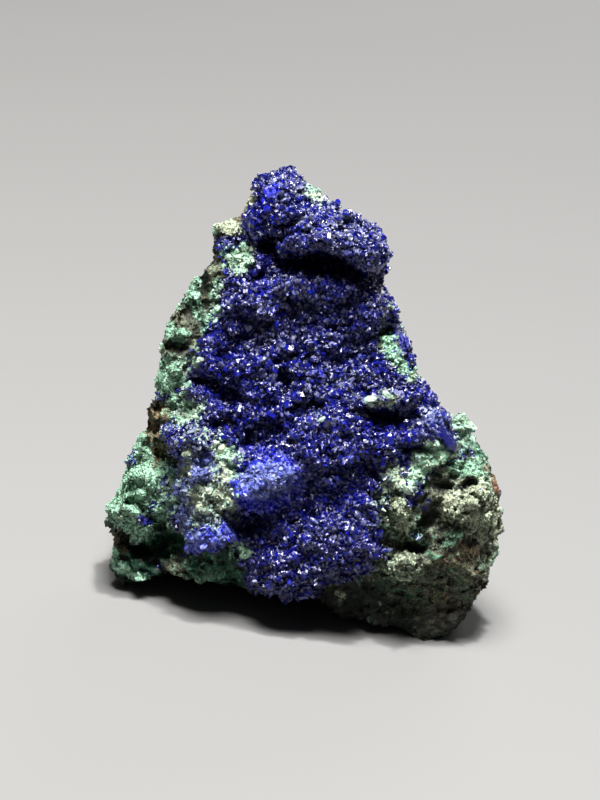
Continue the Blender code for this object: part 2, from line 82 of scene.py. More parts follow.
# Patches of colour, as ellipses in the face frame: u, v, half width, half height, strength, and its
# turn in degrees if it has one. A strength of 1 fills the ellipse and half of it leaves specks.
PATCHES = {
    "mint": [
        (-6.9, 42.4, 1.7, 1.8, 1), (-9.3, 46.2, 0.9, 1.6, 0.8, 10), (1.8, 49.6, 1.3, 1.6, 0.7, 30),
        (-12, 39.4, 1.2, 0.9, 1, 30), (-11.4, 36.8, 0.8, 2.4, 1, 28), (-9.9, 35.4, 0.7, 1.7, 1, -35),
        (-9.3, 38.6, 0.6, 1.2, 0.8, 10), (-12.9, 37.6, 0.6, 1.6, 0.7, -30), (-14.2, 34.8, 0.8, 0.8, 0.6),
        (-8.8, 20.6, 0.5, 1.6, 1, 20), (-13.6, 33.9, 1.6, 1, 0.75, -20), (-14.6, 28.9, 1.9, 2.6, 1),
        (-11.9, 30.9, 1, 0.8, 0.7), (-12.6, 25.4, 2.2, 1.6, 0.8, 20), (-18.2, 20.9, 2, 2.6, 0.9, 20),
        (-15.8, 18.3, 1.4, 0.6, 0.8, -20), (-18.6, 16.4, 3, 3.4, 0.85, 20), (-15.2, 16.6, 1.8, 3.4, 0.85),
        (-21, 14.9, 1.6, 1.4, 1), (-18.9, 12.4, 2.6, 0.9, 0.9, -25), (-19.2, 7.2, 2.6, 1.3, 0.5, -12),
        (-19.8, 8.6, 2.8, 0.4, 1, -38), (-18.4, 6.8, 2.4, 0.4, 1, -24), (-21, 9.6, 0.35, 1.6, 0.9, 10),
        (-16, 12.4, 3.2, 0.7, 0.8, -10), (-7.8, 19.8, 1.2, 2.2, 0.8, 20), (-6.6, 9.9, 1.3, 1.1, 0.85),
        (10.8, 31.5, 3, 1.1, 1, -52), (12.2, 29.4, 1.1, 1, 0.8), (9.5, 28.2, 0.6, 0.5, 0.45),
        (13.4, 19.4, 1.2, 2.6, 0.95, -25), (17, 20.1, 3.6, 1.5, 0.95, -20), (18.8, 22.6, 1.7, 1.7, 0.7),
        (18.4, 24.4, 1.3, 1.6, 1, -40), (12.4, 11.6, 1.6, 0.9, 0.7), (16.8, 11.6, 1.5, 0.7, 0.9, 20),
        (20.8, 16.4, 0.9, 1.2, 0.7), (-10.6, 22.6, 0.9, 1.1, 0.5), (-11, 16.8, 1.2, 1.2, 0.6),
        (10.9, 8, 2.6, 1.6, 0.5), (19.3, 18.2, 2, 1.2, 0.6, -20), (-11.4, 12.4, 0.8, 0.8, 0.5),
        (4, 28.4, 1.3, 0.6, 0.35, 20), (-10.8, 22.4, 3, 1.6, 0.36), (-9.6, 14, 3, 1.6, 0.48),
        (-13.6, 17, 1.6, 2.4, 0.46), (10.3, 15.2, 1.7, 3.8, 0.9, 8), (20.6, 12.2, 1.2, 3, 0.5),
        (17.6, 14.2, 2.8, 1.2, 0.5, 25),
    ],
    "cream": [
        (-7.9, 45.8, 1.6, 0.9, 1), (-12.4, 20.4, 0.7, 0.9, 0.8), (-9, 15.4, 1.4, 1.6, 0.9, 20),
        (-6.2, 48.4, 1, 1.4, 0.55, -30), (2.4, 48.5, 0.9, 0.8, 0.5), (-12.8, 19.2, 0.8, 1.1, 0.8),
        (-9.6, 15.8, 2.6, 2, 0.9, -20), (-8.2, 18.6, 0.9, 1.6, 0.8, 20), (-11.4, 20.8, 1, 0.9, 0.45),
        (9.6, 26.6, 2.2, 0.7, 0.7, 8), (-9.4, 19.2, 1, 1.2, 0.55), (10.6, 15.4, 1.7, 3.8, 0.9, 8),
        (20.4, 12.8, 1.9, 3.2, 0.7, 10), (18.4, 15.2, 3.6, 2.2, 0.78, 25), (11.6, 8.4, 2.6, 1.8, 0.5),
        (-10.2, 38, 1.1, 2.4, 0.35), (-15.8, 26.4, 1.2, 0.8, 0.5), (9.6, 36.8, 0.9, 0.9, 0.5),
        (2, 24.6, 0.8, 0.6, 0.4),
    ],
    "ochre": [
        (-15.4, 25.6, 1.6, 1, 1, 10), (-16.8, 23.4, 1.3, 1, 1), (-15.8, 20.2, 2.2, 1.3, 1.1, -20),
        (-6.4, 48.2, 0.9, 1.5, 0.7, -30), (-10.4, 38.6, 1.2, 1.6, 0.5), (-13.2, 36, 1.2, 1.2, 0.5),
        (17.8, 15.8, 3.6, 2.6, 0.5, 20), (21, 20.2, 0.6, 1.4, 0.5, 10), (-20.3, 10.4, 0.8, 1.6, 0.8, 30),
        (-19, 9, 1.4, 0.7, 0.6, -30), (18, 10, 4.6, 1.8, 0.6, 25), (14, 4, 5, 3.6, 0.55),
        (-8.6, 15.4, 1.4, 1.2, 0.55), (20.2, 9, 1.8, 6, 0.5),
    ],
    "rust": [
        (21.9, 17.4, 0.6, 1.1, 1, -10), (20.6, 19, 0.5, 0.5, 0.5), (-15.9, 21.2, 0.6, 0.5, 0.6),
    ],
    # Near black: the rock's own dark stone, and painted shade in the clefts and hollows that the dents press
    # in and along the underside.
    "dark": [
        (-11, 39.6, 0.9, 1.2, 0.9, 10), (-13.6, 32.8, 1.3, 1, 0.9), (-12, 35, 1.8, 1.4, 0.55, 20),
        (-9, 43.6, 0.6, 2.2, 0.6), (-14.7, 20.5, 0.8, 0.6, 0.8, -20), (-21.4, 13, 0.9, 0.9, 0.9),
        (-15.5, 13.4, 0.9, 1.1, 0.9), (-17.6, 9.9, 3.6, 0.8, 0.9, -42), (14.2, 13.7, 2.3, 0.7, 0.8, 52),
        (12.5, 10.3, 1.5, 0.8, 0.9), (6, 3.8, 5, 3.2, 0.75, -10), (14, 1.6, 7, 3, 0.6),
        (-12, 37.6, 2, 2.6, 0.62, -10), (-10.6, 34.2, 1, 1.2, 0.6), (15.8, 17.3, 1.2, 0.8, 0.7),
        (18.4, 17.2, 1.4, 0.5, 0.75, -15), (17.2, 13.2, 1.6, 0.45, 0.7, 30), (20.4, 14.6, 0.5, 1.4, 0.7),
        (19.2, 11.2, 1.6, 0.5, 0.7, 30), (-19.6, 18, 1, 1, 0.5),
    ],
    "green": [
        (-15.4, 10.6, 2.7, 1.7, 1, 10), (-18.6, 7.8, 3.2, 1.9, 1, -15), (-9, 7.6, 3.8, 2.4, 0.9),
        (-6, 12.4, 2.6, 1.6, 0.6), (20.8, 12.4, 1.8, 4.2, 0.35), (9, 3.6, 6, 3.6, 0.6),
        (18.4, 21.6, 3.4, 2.6, 0.8, -20), (13.6, 18, 0.9, 1.6, 0.7, -20), (7.8, 44.8, 0.8, 0.6, 0.7),
    ],
    "powder": [
        (-12.2, 18.6, 2.4, 2, 0.9), (-14.4, 17.4, 1.4, 1.4, 1), (-9.4, 19.6, 1.3, 1.8, 0.9, 10),
        (-10.3, 11.8, 3.4, 1.9, 0.55), (-10.4, 20.4, 2.4, 1.4, 0.6, -8), (-12.8, 14.4, 1.6, 1, 0.9),
        (-14.6, 17.6, 1.3, 1.1, 1), (-11.6, 15, 2.6, 1.4, 0.8), (14.8, 24.4, 2.4, 1.6, 0.45, -15),
        (10.4, 15.4, 1.5, 3.2, 0.5, 8), (-3.6, 17.8, 3.4, 2.2, 0.72, 15),
    ],
    # Brighter blue: partly the crystals' own vivid colour, partly painted light, most of all on the lit top
    # of the ridge.
    "vivid": [
        (-3.6, 17.6, 3.9, 2.9, 1, 15), (-3.4, 49.2, 0.9, 1.4, 0.8), (14.4, 24.6, 2.4, 1.8, 0.3, -20),
        (-10.2, 11.2, 3.2, 1.7, 0.9), (-14.2, 17.8, 1.9, 1.4, 0.9), (-9.8, 19.4, 1.4, 1.5, 0.9),
        (-13.6, 14.6, 1.6, 1, 0.9), (-11.6, 18.6, 1.2, 0.9, 0.7),
    ],
    # Where the crystals get painted sheen, a whitish colour that stands in for their glints, heaviest on the
    # lit ledge and the tip.
    "haze": [
        (13.6, 25, 2.4, 1.5, 0.6, -25), (3, 31, 6, 4, 0.3), (3.4, 45.6, 5.2, 2.4, 0.64, -15),
        (7.4, 43.8, 1.8, 2.8, 0.7), (-1.2, 50.2, 2.6, 1.6, 0.65), (-2.4, 37.6, 4.6, 3, 0.5),
        (6.2, 28.4, 3.4, 1.6, 0.6, 10), (0.4, 27.8, 1.4, 1.2, 0.75), (-8.6, 38.4, 1.6, 2.6, 0.4),
        (3.6, 12.4, 3.6, 1.6, 0.4, 10), (-3, 33, 4, 2, 0.45), (-1.6, 18.6, 2.6, 2.4, 0.2),
        (-12.4, 22, 2.4, 1.2, 0.5), (-10, 13.6, 3, 1, 0.2), (9.4, 28.2, 2.2, 0.8, 0.5, 10),
    ],
    "blue": [
        (-8.2, 44, 1.4, 0.9, 0.7), (-6.6, 43.6, 0.8, 1.6, 0.55, 10), (-14.9, 26.9, 0.9, 0.5, 0.8),
        (-19.2, 20.4, 1, 0.9, 0.6), (-16.6, 14.6, 0.9, 0.9, 0.6), (-14.6, 17.6, 1, 0.9, 1),
        (-12.8, 14.4, 1.2, 0.8, 0.8), (12.2, 18.6, 1.6, 2.4, 0.9, -20), (12.2, 16.4, 0.8, 1.6, 0.8),
        (-16.2, 15.1, 0.9, 0.5, 0.9, 20), (-17.5, 13.2, 0.9, 0.6, 0.9), (10.8, 34.8, 1.2, 1.6, 0.6),
        (12.2, 32.4, 0.8, 2.2, 0.9, 20), (14, 15.2, 0.7, 0.9, 0.5), (9.8, 29.4, 0.9, 0.6, 0.6, -30),
        (12.5, 11.9, 0.7, 0.5, 0.6),
    ],
}
PATCH_DEPTH = (-10.0, -6.5)  # w over which the patches give way to what the rock's own noise lays down
PATCH_WARP = (2.2, 1.4)  # spacing and reach of the noise that roughens their outlines

# Hollows and lumps too small for the solids: u, v, half width, half height, height, and a turn if any.
DENTS = [
    (2, 41.7, 3.8, 1.3, -2.6, -2), (8.6, 40, 0.9, 1.5, -2.2, 20), (-3, 43.8, 1.5, 1.3, -2.6),
    (-10.4, 28.8, 1.6, 0.8, -2.4, -10), (-8, 27.2, 1.9, 1.2, -2.9, -10), (-1.7, 28.5, 0.9, 1.7, -2.9),
    (1.2, 25.7, 1.6, 1.1, -2.6), (-8.3, 24, 1.3, 1, -2), (-4.2, 22.6, 2.4, 1.6, -2.9, 20),
    (9.5, 24.9, 2.1, 1, -2.6, -8), (12.4, 21.4, 2, 0.5, -1.6, -10), (15.8, 20.2, 2.2, 1.3, 0.9, -10),
    (9.8, 34.8, 1.1, 1, -1.8), (-1.5, 31.4, 1.4, 0.6, -1.5, 10), (4.6, 31, 1.8, 0.7, -1.5, 15),
    (5.4, 22.4, 1.3, 0.8, -1.4), (-5.8, 13.2, 2.6, 1.4, -2.6, -8), (2.6, 21, 0.9, 0.7, -1.2),
    (-6.4, 33.6, 1.2, 0.7, -1.3, 20), (6.6, 35.2, 1.8, 0.7, -0.4, -20), (-4.6, 40.2, 1.8, 0.6, -1.3, 10),
    (-0.2, 46.4, 1.6, 0.6, -1.3, 20), (2.2, 36.4, 1.4, 0.6, -0.5), (-8.6, 31.6, 1, 0.6, -1.2),
    (3.2, 43.9, 1.6, 0.5, -0.9, 10), (6.6, 27.6, 1.2, 0.5, -1.2), (-3.4, 26.2, 1, 0.8, -1.6, 30),
    (7.4, 19.8, 0.8, 0.8, -0.9), (-3.4, 49.2, 0.8, 1.2, 0.4), (4.6, 46.4, 5, 1.7, -0.9, -16),
    (6.4, 45.7, 0.6, 0.5, -1.5), (-5.3, 51, 0.7, 1.1, -1.2), (1.5, 45.5, 0.8, 0.4, -1.1, 20),
    (4.9, 45.2, 0.9, 0.35, -1, -20), (-5.6, 43.2, 0.9, 1.3, 0.6), (-3.8, 17.4, 3.4, 2.2, 0.1, 12),
    (9.4, 26.7, 2.6, 0.6, 0.9, 8), (0.4, 27.6, 0.8, 0.8, 0.9), (15, 23.6, 2.2, 1.6, 0.5, -20),
    (18.9, 24.9, 1, 1, -1.2), (-12.4, 21.6, 1.6, 1.4, 0.6), (-10.6, 19.8, 2, 1.6, 1),
    (-9.6, 12.4, 2.8, 1.6, 0.7), (-5.8, 30.6, 1.4, 1, 0.7), (2.2, 33.6, 1.8, 1.1, 0.6),
    (6.6, 15.6, 1.8, 1.6, 0.4), (-15, 20.5, 1.2, 0.8, -1.6, -20), (-16.3, 23.5, 1.5, 0.5, -1.5, 10),
    (-15.4, 26.1, 1, 0.7, -1.4), (-18.3, 16.9, 0.9, 0.5, -1.3, 20), (-18.2, 15.4, 0.8, 0.5, -1.3),
    (-12.2, 36.9, 0.8, 1, -1.3), (-14.8, 30.9, 0.7, 0.5, -0.9), (-9.6, 42.8, 0.5, 1.4, -1.2),
    (-10.4, 37.4, 0.6, 1.3, -1.2, 10), (-12.6, 38.6, 0.6, 0.5, -0.9), (-11.4, 36.8, 0.4, 2, 0.6, 28),
    (-9.8, 35.4, 0.4, 1.4, 0.6, -35), (16.9, 18.2, 0.6, 0.4, -0.8), (15, 18.8, 0.6, 0.4, -0.8),
    (18.8, 17.6, 0.7, 0.4, -0.8, 20), (-13.2, 28, 0.5, 0.5, -0.8), (-11, 39.5, 0.9, 1.2, -1.8, 10),
    (-13.6, 32.8, 1.1, 0.8, -1.8), (-21.3, 13.1, 0.9, 0.9, -1.3), (-15.5, 13.3, 0.8, 1, -2),
    (-15.4, 10.6, 2.4, 1.2, -1.6, 10), (-17.6, 9.8, 3.6, 0.6, -2.2, -42), (14.2, 13.7, 2.3, 0.6, -1.8, 52),
    (12.5, 10.3, 1.5, 0.7, -2), (15.6, 17.3, 0.9, 0.6, -1), (18.2, 15.2, 2.4, 1.6, 0.6, 20),
    (10.4, 15.4, 1.4, 3.4, 0.8, 8), (10.2, 13.2, 0.5, 0.4, -0.9), (11, 16.6, 0.5, 0.4, -0.9, 30),
    (9.9, 17.4, 0.4, 0.5, -0.8), (-18.8, 12.7, 3.4, 1.7, 2.8, -25), (-15, 14.2, 1.2, 1.6, 1.2),
    (10.8, 8.2, 2, 1.5, 0.7), (11, 31.4, 1.6, 2, 0.4),
]
DENT_EDGE = (0.15, 1.0)  # how deep inside its ellipse a dent begins, and is whole

# Where the front is drawn out to a level: u, v, half width, half height, w, turn in degrees.
LIFTS = [
    (0.2, 43.9, 2.5, 0.8, 8.4, 4), (3.3, 44.2, 2.3, 0.75, 9.2, -4), (5.6, 43.1, 1.4, 0.8, 9.2, -35),
    (7.3, 42.4, 1.3, 1.4, 9, 10), (1.8, 39.1, 4.6, 1.2, 6.2, -3), (4.6, 37.4, 4.2, 2, 5, 12),
    (7.6, 36.4, 1.8, 2.2, 5.4, 20), (5, 34.8, 4.4, 1.4, 4.2, 5),
]
LIFT_EDGE = (0.4, 0.8)  # the same for these

CLUSTERS = ((3.3, 0.85), (1.7, 0.75))  # spacing and height of the lumps that the whole front grows in
CLUSTER_SEED = 8  # noise_vector starts from the clock unless it is given a seed
PRESS_DEPTH = (1.5, 6.5)  # how far under the surface the relief begins to fade, and is gone
FAR_OUT = 60  # w from which rays look back at the face

# Heights over the floor, in millimetres, where these begin and where they are whole.
ROUGH_FOOT = (0.1, 1.2)
CRYSTAL_FOOT = (0.8, 2.0)
SPILL_FOOT = (1.0, 2.4)
BEAD_FOOT = (0.6, 1.6)
CALM_TOP = (47.6, 48.6)  # on the highest tip
CALMED = 0.8  # share of the roughness that is left out there

# The large crystals: u, v, length, width, turn in degrees, rise out of the face in degrees, tone.
PRISMS = [
    (16.2, 22.3, 3.4, 1.8, -58, 4, 0.2), (15, 23, 1.8, 1, -40, 35, 0.3), (-3.3, 49.3, 1.6, 0.6, 82, 30, 0.9),
    (-5.2, 46.1, 1.5, 1.2, 75, 40, 0.5), (11.9, 32.8, 1.4, 0.9, -85, 45, 0.6),
    (12.3, 31.2, 1.1, 0.8, -60, 50, 0.6), (9.4, 29.9, 1.5, 1, -20, 40, 0.5),
    (-13.6, 27.6, 1.2, 0.9, 20, 45, 0.5), (4.9, 31.6, 1.2, 0.8, 30, 30, 0.7),
    (-3, 24.9, 1.3, 0.8, -30, 30, 0.8), (7.6, 21.9, 1.3, 0.9, 10, 30, 0.6),
    (-7.4, 44.4, 1.1, 0.8, 70, 20, 0.6),
]
PRISM_SEAT = (0.45, 0.3)  # share of the length behind its seat, and of the width that it stands proud
PRISM_DROP = 40  # w from which each is let down onto the face

# What grows: its smallest and largest width and its spacing, in millimetres, its tilt and its seed.
GROWTHS = {
    "blades": (0.65, 1.15, 0.95, 0.65, 3),
    "crystals": (0.42, 0.80, 0.405, 0.8, 5),
    "grains": (0.28, 0.50, 0.257, 0.9, 8),
    "dust": (0.17, 0.32, 0.256, 1.1, 34),
    "spill": (0.28, 0.60, 0.34, 0.9, 13),
    "beads": (0.16, 0.44, 0.30, 0.5, 21),
}
GROWTH_INPUTS = {
    "Surface": "Geometry", "Forms": "Collection", "Smallest": "Float", "Largest": "Float",
    "Spacing": "Float", "Tilt": "Float", "Seed": "Int", "Finish": "Material",
}
MOST_POINTS = 4e7  # per square metre, more than the spacing lets stand
ROOT = -0.35  # how low a crystal's form begins, in its own widths
SQUARE = ((-1, -1), (1, -1), (1, 1), (-1, 1))

# How much painted sheen each size of crystal may take: a whitish colour that stands in for the glints of its
# facets.
SHEEN_SHARES = {"blades": 0.15, "crystals": 0.35, "grains": 0.9, "dust": 1.0, "spill": 0.8}

# What the noise lays down all over: spacing, least value that shows, strength, shift of its pattern.
GROUND = {
    "mint": (6.5, 0.52, 2.6, (3, 0, 0)),
    "cream": (3.2, 0.70, 2.4, (0, 9, 0)),
    "ochre": (7.5, 0.52, 2.6, (0, 0, 27)),
    "rust": (3.0, 0.86, 3.0, (17, 4, 0)),
    "dark": (3.8, 0.62, 2.4, (31, 0, 8)),
    "green": (9.0, 0.50, 2.4, (8, 21, 0)),
    "blue": (5.0, 0.78, 3.2, (0, 47, 5)),
}
GROUND_HIDDEN = 0.55  # share of it that is left out on the front, where the patches lie

# Each light's place in the face frame, beside the middle of the face, and its width, in metres.
LIGHTS = {
    "key": ((0.03, 0.51, 0.35), 0.25),
    "sparkle": ((0.10, 0.55, 0.27), 0.05),
    "fill": ((-0.12, 0.10, 0.42), 0.35),
    "back": ((0.22, 0.30, -0.55), 0.40),
}
WORLD_COLOR = (0.5, 0.5, 0.52, 1)
WORLD_STRENGTH = 0.02
FLOOR_REACH = 6.0  # metres each way
SENSOR_WIDTH = 36


# ---- settings


def size_setting(name, description, millimetres):
    return FloatProperty(
        name=name, description=description, default=millimetres * MM, unit="LENGTH", precision=6
    )


def color_setting(name, description, *channels):
    return FloatVectorProperty(name=name, description=description, default=channels, subtype="COLOR")


def power_setting(name, description, watts):
    return FloatProperty(name=name, description=description, default=watts, unit="POWER")


class RockSettings(bpy.types.PropertyGroup):
    voxel: size_setting("Detail", "Spacing of the rock's surface points", 0.31)
    crags: size_setting("Crags", "Height of the rock's coarse roughness", 0.34)
    pits: size_setting("Pits", "Depth of the pits in the rock", 0.42)
    grain: size_setting("Grain", "Height of the finest modelled roughness", 0.13)
    stone: color_setting("Stone", "Colour of the bare rock", 0.130, 0.148, 0.094)
    mint: color_setting("Mint malachite", "Colour of the powdery malachite", 0.265, 0.49, 0.33)
    green: color_setting("Dark malachite", "Colour of the dense malachite", 0.006, 0.085, 0.040)
    cream: color_setting("Cream", "Colour of the pale clay between the grains", 0.36, 0.40, 0.27)
    ochre: color_setting("Ochre", "Colour of the limonite", 0.16, 0.10, 0.042)
    rust: color_setting("Rust", "Colour of the iron stain", 0.24, 0.075, 0.022)


class DruseSettings(bpy.types.PropertyGroup):
    voxel: size_setting("Detail", "Spacing of the druse's surface points", 0.26)
    crags: size_setting("Crags", "Height of the druse's coarse roughness", 0.42)
    pits: size_setting("Pits", "Depth of the gaps between its clusters", 0.62)
    deep: color_setting("Deep blue", "Colour of the thick, dark crystals", 0.0008, 0.0016, 0.058)
    azure: color_setting("Azure", "Colour of the lit crystals", 0.007, 0.012, 0.33)
    powder: color_setting("Powder blue", "Colour of the powdery azurite", 0.22, 0.285, 0.64)
    # The colour of the painted sheen, which stands in for the crystals' glints.
    haze: color_setting("Haze", "Colour of the frosted crystals", 0.47, 0.50, 0.66)


class GrowthSettings(bpy.types.PropertyGroup):
    smallest: size_setting("Smallest", "Width of the smallest crystal or bead", 0.4)
    largest: size_setting("Largest", "Width of the largest crystal or bead", 0.8)
    spacing: size_setting("Spacing", "Least distance between two of them", 0.3)
    tilt: FloatProperty(
        name="Tilt", description="How far they lean from the surface's normal", default=0.7, subtype="ANGLE"
    )
    seed: IntProperty(name="Seed", description="Changes where they stand", default=1)


class StageSettings(bpy.types.PropertyGroup):
    distance: size_setting("Camera distance", "From the lens to the crystal face", 600)
    frame_height: size_setting("Frame height", "Height that the camera's frame covers at the face", 88.9)
    floor: color_setting("Floor", "Colour of the floor", 0.165, 0.163, 0.158)
    key: power_setting("Key light", "Power of the light above", 10.8)
    sparkle: power_setting("Sparkle light", "Power of the small light beside it", 5.4)
    fill: power_setting("Fill light", "Power of the light in front", 0.06)
    back: power_setting("Back light", "Power of the light behind", 2.5)


class SpecimenSettings(bpy.types.PropertyGroup):
    rock: PointerProperty(type=RockSettings)
    druse: PointerProperty(type=DruseSettings)
    blades: PointerProperty(type=GrowthSettings)
    crystals: PointerProperty(type=GrowthSettings)
    grains: PointerProperty(type=GrowthSettings)
    dust: PointerProperty(type=GrowthSettings)
    spill: PointerProperty(type=GrowthSettings)
    beads: PointerProperty(type=GrowthSettings)
    stage: PointerProperty(type=StageSettings)


# ---- node graphs


class Wire:
    """A socket in an expression: working with it adds the Math nodes that work it out."""

    def __init__(self, graph, socket):
        self.graph = graph
        self.socket = socket

    def __add__(self, other):
        return self.graph.maths("ADD", self, other)

    def __sub__(self, other):
        return self.graph.maths("SUBTRACT", self, other)

    def __rsub__(self, other):
        return self.graph.maths("SUBTRACT", other, self)

    def __mul__(self, other):
        return self.graph.maths("MULTIPLY", self, other)

    def __pow__(self, other):
        return self.graph.maths("POWER", self, other)

    __radd__ = __add__
    __rmul__ = __mul__


def in_use(sockets, *names):
    """The sockets that the node's settings leave in use, of those names if any are given."""
    return [socket for socket in sockets if socket.enabled and (not names or socket.name in names)]


class Graph:
    """A node tree that is written as expressions."""

    def __init__(self, tree):
        self.tree = tree

    def node(self, kind, inputs=None, **settings):
        """Adds a node of that kind, with its settings and then its sockets' values or links."""
        made = self.tree.nodes.new(kind)
        for name, value in settings.items():
            setattr(made, name, value)
        for name, value in (inputs or {}).items():
            self.feed(made.inputs[name], value)
        return made

    def feed(self, socket, value):
        """Links a wire or a node's first output to the socket, or sets the socket to a value."""
        if isinstance(value, bpy.types.Node):
            value = self.out(value)
        if isinstance(value, Wire):
            self.tree.links.new(value.socket, socket)
        else:
            socket.default_value = value

    def out(self, made, name=0):
        return Wire(self, made.outputs[name])

    def maths(self, operation, *values):
        return self.out(self.node("ShaderNodeMath", dict(enumerate(values)), operation=operation))

    def random(self, low, high, seed, kind="FLOAT"):
        """A random value for each point or instance, between low and high."""
        made = self.node("FunctionNodeRandomValue", {"Seed": seed}, data_type=kind)
        for socket, value in zip(in_use(made.inputs, "Min", "Max"), (low, high)):
            self.feed(socket, value)
        return Wire(self, in_use(made.outputs)[0])


class Shader(Graph):
    """A material with one glossy shader, fed by expressions."""

    def __init__(self, name, ior):
        self.material = bpy.data.materials.new(name)
        self.material.use_nodes = True
        super().__init__(self.material.node_tree)
        self.principled = self.tree.nodes["Principled BSDF"]
        self.principled.inputs["IOR"].default_value = ior
        self.place = self.out(self.node("ShaderNodeTexCoord"), "Object")

    def attribute(self, name):
        return self.out(self.node("ShaderNodeAttribute", attribute_name=name), "Fac")

    def grain(self, size, detail, roughness, distortion=0.0):
        """Noise whose lumps are about that many millimetres wide, from 0 to 1."""
        made = self.node("ShaderNodeTexNoise", {
            "Vector": self.place, "Scale": 1 / (size * MM), "Detail": detail,
            "Roughness": roughness, "Distortion": distortion,
        })
        return self.out(made, "Fac")

    def cells(self, size):
        """Distance inside cells that are about that many millimetres wide."""
        made = self.node("ShaderNodeTexVoronoi", {"Vector": self.place, "Scale": 1 / (size * MM)})
        return self.out(made, "Distance")

    def step(self, value, low, high):
        """0 below low, 1 above high and a smooth rise between them."""
        ends = {"Value": value, "From Min": low, "From Max": high, "To Min": 0.0, "To Max": 1.0}
        return self.out(self.node("ShaderNodeMapRange", ends, interpolation_type="SMOOTHSTEP"), "Result")

    def mix(self, share, first, second, blend="MIX"):
        """A colour that goes from first to second with share."""
        inputs = {0: share, 6: opaque(first), 7: opaque(second)}
        return self.out(self.node("ShaderNodeMix", inputs, data_type="RGBA", blend_type=blend), 2)

    def shades(self, color, dark, light, share):
        """The colour, from dark to light times its own brightness with share."""
        return self.mix(share, scaled(color, dark), scaled(color, light))

    def darkened(self, color, *tint):
        """The colour where it lies in shade of that tint."""
        return self.mix(1.0, color, tint, "MULTIPLY")

    def finish(self, color, roughness, height, reach):
        """Feeds the shader, with height times reach millimetres as its bump."""
        bump = self.node("ShaderNodeBump", {"Height": height, "Distance": reach * MM, "Strength": 1.0})
        for name, value in {"Base Color": color, "Roughness": roughness, "Normal": bump}.items():
            self.feed(self.principled.inputs[name], value)
        return self.material


def opaque(color):
    return color if isinstance(color, Wire) else (*color, 1.0)


def scaled(color, share):
    return tuple(min(1.0, channel * share) for channel in color)


# ---- places


def face_turn():
    return Matrix.Rotation(math.pi / 2 - LEAN, 3, "X") @ Matrix.Rotation(TURN, 3, "Z")


def stand():
    """The matrix from the face frame, in metres, to the standing part."""
    up = face_turn().transposed() @ Vector((0, 0, 1))
    foot = Vector(FRONT_FOOT) * MM
    u, w = BASE_ORIGIN[0] * MM, BASE_ORIGIN[1] * MM
    v = (up.dot(foot) - up.x * u - up.z * w) / up.y
    return face_turn().to_4x4() @ Matrix.Translation(-Vector((u, v, w)))


def in_face_frame(places):
    """World places in the face frame, in millimetres."""
    back = np.array(stand().inverted())
    return (places @ back[:3, :3].T + back[:3, 3]) / MM


def in_world(face_places):
    """Places of the face frame, given in millimetres, in the world."""
    there = np.array(stand())
    return (face_places * MM) @ there[:3, :3].T + there[:3, 3]


def smooth_step(value, low, high):
    t = np.clip((value - low) / (high - low), 0, 1)
    return t * t * (3 - 2 * t)


# ---- patterns


def each(places, spacing, rule, shift=(0, 0, 0)):
    """The rule's value at each place, in a pattern whose unit is spacing millimetres."""
    offset = Vector(shift)
    return np.array([rule(Vector(place) + offset) for place in places / (spacing * MM)])


def soft(place):
    """Soft noise from 0 to 1."""
    return 0.5 + 0.5 * noise.fractal(place, 0.8, 2.0, 3)


def grit(place):
    return noise.fractal(place, 0.7, 2.0, 2)


def crag(place):
    """Ridges and lumps."""
    return noise.ridged_multi_fractal(place, 0.9, 2.1, 3, 1.0, 1.7) - 1.1


def pit(place):
    """Rounded grains with pits between them."""
    near, second = noise.voronoi(place)[0][:2]
    return min(1.0, (second - near) * 1.6) - 0.6


def groove(place):
    """Winding grooves round rough grains."""
    return min(1.0, abs(noise.noise(place) + 0.35 * noise.noise(place * 2.3)) * 4.5) - 0.7


def cluster(place):
    """A lump in each cell, with a groove between it and the next."""
    warped = place + noise.noise_vector(place * 1.3) * 0.35
    (near, second, *_), (middle, *_) = noise.voronoi(warped)
    return min(1.0, (second - near) * 2.4) * (0.8 + 0.6 * noise.noise(middle * 5.3)) - 0.6


def inside(face_places, u, v, wide, high, turn=0):
    """How deep each place lies in an ellipse: 1 about its middle, 0.65 on its outline, 0 well outside."""
    cosine, sine = math.cos(math.radians(turn)), math.sin(math.radians(turn))
    du, dv = face_places[:, 0] - u, face_places[:, 1] - v
    along, across = (du * cosine + dv * sine) / wide, (dv * cosine - du * sine) / high
    return np.clip(1.25 - (along**2 + across**2) * 0.6, 0, 1)


def patch_values(face_places, table):
    """The strongest of the table's patches at each place."""
    found = np.zeros(len(face_places))
    for u, v, wide, high, strength, *turn in table:
        found = np.maximum(found, strength * inside(face_places, u, v, wide, high, *turn))
    return found


# ---- meshes


def new_object(name, data):
    made = bpy.data.objects.new(name, data)
    bpy.context.scene.collection.objects.link(made)
    return made


def new_mesh(name, corners, faces):
    mesh = bpy.data.meshes.new(name)
    mesh.from_pydata(corners, [], faces)
    mesh.update()
    return mesh


def bake(piece):
    """Applies the piece's modifiers."""
    graph = bpy.context.evaluated_depsgraph_get()
    mesh = bpy.data.meshes.new_from_object(piece.evaluated_get(graph))
    piece.modifiers.clear()
    piece.data = mesh


def read(items, key, width=1):
    """The items' numbers, width of them for each."""
    numbers = np.empty(len(items) * width, np.float32)
    items.foreach_get(key, numbers)
    return numbers.astype(float)


def places_of(mesh):
    return read(mesh.vertices, "co", 3).reshape(-1, 3)


def normals_of(mesh):
    return read(mesh.vertex_normals, "vector", 3).reshape(-1, 3)


def values_of(mesh, name):
    return read(mesh.attributes[name].data, "value")


def move_points(mesh, places):
    """Puts the mesh's points there, and none of them below the floor."""
    places[:, 2] = np.maximum(places[:, 2], 0)
    mesh.vertices.foreach_set("co", places.ravel())
    mesh.update()


def set_attribute(mesh, name, values):
    layer = mesh.attributes.get(name) or mesh.attributes.new(name, "FLOAT", "POINT")
    layer.data.foreach_set("value", np.asarray(values, np.float32))


